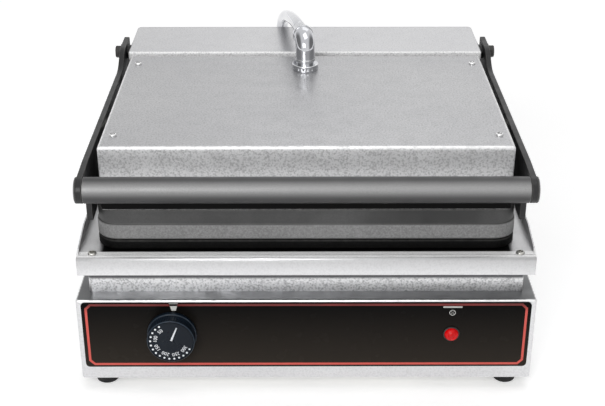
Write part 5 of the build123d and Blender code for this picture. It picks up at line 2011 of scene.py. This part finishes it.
@dataclass
class Springs:
    """The pair of counterbalance springs, as real coils with a hook ring at each end."""

    wire: float = 1.1 * MM
    coil: float = 5.6 * MM
    turns: int = 15
    hook: float = 14 * MM
    ring: float = 4.05 * MM
    ring_inset: float = 1.25 * MM
    coil_inset: float = 7 * MM
    overlap: float = 1 * MM

    def wire_along(self, surface: Surface, line: Array, side: Sequence[float]) -> None:
        """Adds a round wire along a line.

        Args:
            surface: the surface that takes it.
            line: the points of its middle.
            side: a direction that it never runs in.
        """
        s = travel(line)
        surface.skin(carried(line, np.stack([s, np.full(len(s), self.wire)], axis=1), side, 10))

    def hook_ring(self, surface: Surface, x: float, y: float, pin: float) -> None:
        """Adds a hook ring, a wire bent in a circle about its pin. Its faces look inwards.

        Args:
            surface: the surface that takes it.
            x: the spring's place along the first axis.
            y: its place along the second axis.
            pin: the height of the pin.
        """
        loop = np.linspace(0, 2 * np.pi, 33)[:-1]
        centre = np.array([x, y, pin])
        spoke = np.stack([0 * loop, np.cos(loop), np.sin(loop)], axis=1)
        turn = np.linspace(0, 2 * np.pi, 10, endpoint=False)[None, :, None]
        tube = spoke[:, None] * np.cos(turn) + np.array([1.0, 0, 0]) * np.sin(turn)
        rings = (centre + self.ring * spoke)[:, None] + self.wire * tube
        surface.skin(rings, looped=True)

    def build(self) -> None:
        """Builds both springs.

        A coil is x = r cos(a), y = r sin(a), z rising evenly with a. A straight shank joins it
        to the hook ring at each end.
        """
        box = Box.of("counterbalance_springs")
        reach = box.high[0] - self.coil_inset
        y = box.middle[1]
        top_pin = box.high[2] - self.ring - self.ring_inset
        foot_pin = box.low[2] + self.ring + self.ring_inset
        surface = Surface()
        a = np.linspace(0, 2 * np.pi * self.turns, 24 * self.turns)
        rise = np.linspace(foot_pin + self.hook, top_pin - self.hook, len(a))
        for x in (-reach, reach):
            coil = np.stack([x + self.coil * np.cos(a), y + self.coil * np.sin(a), rise], axis=1)
            self.wire_along(surface, coil, (0, 0, 1))
            for pin, way in ((foot_pin, 1), (top_pin, -1)):
                self.hook_ring(surface, x, y, pin)
                z = np.linspace(pin + way * self.ring, pin + way * (self.hook + self.overlap), 6)
                shank = np.stack([0 * z + x, 0 * z + y, z], axis=1)
                self.wire_along(surface, shank, (1, 0, 0))
        springs = make_piece("spring_coils", surface, ZINC, None, "counterbalance_springs")
        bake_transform(springs)


@dataclass
class CarriedOver:
    """The CAD nodes whose shape is right as it is, dressed by their material slot."""

    special: dict[str, Finish] = field(
        default_factory=lambda: {"riser_frame": RISER_STEEL, "rear_housing": HOUSING_STEEL}
    )
    usual: tuple[Finish, ...] = (
        STEEL, ARM_PAINT, GRIP, KNOB_BLACK, LENS, CHROME, ZINC, ELEMENT, BRASS, WOOL,
        WHITE_PLASTIC, RUBBER, DARK_PLASTIC, RAW_CAST, PANEL_PLAIN,
    )

    def build(self) -> None:
        """Gives every CAD node the finish of its slot, or its own."""
        by_slot = {finish.slot: finish for finish in self.usual}
        slots = {part["node"]: part["material_slot"] for part in frame["record"]["subparts"]}
        for name, node in frame["nodes"].items():
            finish = self.special.get(name, by_slot[slots[name]])
            node.data.materials.clear()
            node.data.materials.append(material_of(finish))
        log.info("%d CAD nodes dressed", len(frame["nodes"]))


@dataclass
class Studio:
    """The pale floor, the soft lights and the camera at the photograph's angle."""

    floor: float = 30.0
    floor_lift: float = 0.36
    far_lift: float = 0.62
    floor_tones: tuple[Colour, Colour] = ((250, 250, 250), (252, 252, 252))
    side_dim: float = 0.25
    lens: float = 70.2
    sensor: float = 36.0
    pitch: float = 26.5
    yaw: float = 0.18
    eye: Triple = (-0.0065, -1.1249, 0.670)
    aim: Triple = (0, 0, 0.15)
    sky: float = 0.45

    def ground(self) -> None:
        """A wide round floor that reads white and keeps the object's shadow."""
        outline = circle(self.floor / 2, 96)
        mesh = bpy.data.meshes.new("floor")
        mesh.from_pydata([(x, y, 0) for x, y in outline], [], [list(range(len(outline)))])
        floor = into_scene("floor", mesh)
        bench = Bench("floor_paper")
        first, second = self.floor_tones
        seen = bench.rays("Is Camera Ray", "Is Glossy Ray", "Is Transmission Ray")
        away = bench.add("ShaderNodeVectorMath", {0: bench.place}, operation="LENGTH").outputs["Value"]
        level = bench.spread(away, (0.6, 3.0), (self.floor_lift, self.far_lift))
        bench.feed(bench.shader, {
            "Base Color": bench.blend(bench.noise(3.0), linear(first), linear(second)),
            "Roughness": 0.9,
            "Specular IOR Level": 0.1,
            "Emission Color": (1, 1, 1, 1),
            "Emission Strength": bench.maths("MULTIPLY", seen, level),
        })
        mesh.materials.append(bench.material)

    def world(self) -> None:
        """A sky that looks white to the camera and lights the object less than that.

        In metal and glass it is white too, but dimmer far out to the left and right, which gives
        round chrome its edges.
        """
        world = bpy.data.worlds.new("studio")
        world.use_nodes = True
        wiring = Wiring(world.node_tree)
        heading = wiring.add("ShaderNodeTexCoord").outputs["Generated"]
        across = wiring.add("ShaderNodeSeparateXYZ", {0: heading}).outputs["X"]
        dimmed = wiring.spread(wiring.maths("ABSOLUTE", across), (0.62, 0.85), (1.0, self.side_dim))
        mirrors = wiring.rays("Is Glossy Ray", "Is Transmission Ray")
        mirrored = wiring.between(mirrors, self.sky, dimmed)
        level = wiring.between(wiring.rays("Is Camera Ray"), mirrored, 1.0)
        background = world.node_tree.nodes["Background"]
        wiring.feed(background, {"Color": (1, 1, 1, 1), "Strength": level})
        bpy.context.scene.world = world

    def lamp(self, name: str, place: Triple, size: float, power: float) -> None:
        """A soft square light that looks at the object.

        Args:
            name: the light's name.
            place: where it hangs.
            size: its side.
            power: its power in watts.
        """
        light = bpy.data.lights.new(name, "AREA")
        light.size = size
        light.energy = power
        lamp = into_scene(name, light)
        lamp.location = place
        aim = Vector(self.aim) - lamp.location
        lamp.rotation_euler = aim.to_track_quat("-Z", "Y").to_euler()

    def camera(self) -> None:
        """The camera at the photograph's viewing angle."""
        data = bpy.data.cameras.new("camera")
        data.lens = self.lens
        data.sensor_width = self.sensor
        camera = into_scene("camera", data)
        camera.location = self.eye
        camera.rotation_euler = (math.radians(90 - self.pitch), 0, math.radians(-self.yaw))
        bpy.context.scene.camera = camera

    def build(self) -> None:
        """Sets up the studio."""
        self.camera()
        self.ground()
        self.world()
        self.lamp("key_light", (-0.4, -1.5, 0.95), 0.7, 11)
        self.lamp("top_light", (0.2, -0.3, 2.1), 1.2, 7)
        self.lamp("back_light", (0.3, 1.5, 1.6), 1.2, 3)
        bpy.context.scene.view_settings.view_transform = "Standard"


def main() -> None:
    """Builds the studio and every sub-assembly, in order, and reports each piece."""
    logging.basicConfig(level=logging.INFO, format="%(message)s")
    parts = (
        Studio(), CarriedOver(), BaseBox(), ControlPanel(), Dial(), PilotLamp(), Deck(),
        CastPlates(), LidCover(), Arms(), Conduit(), Springs(),
    )
    for part in parts:
        log.info("building %s", type(part).__name__)
        part.build()


if __name__ == "__main__":
    main()
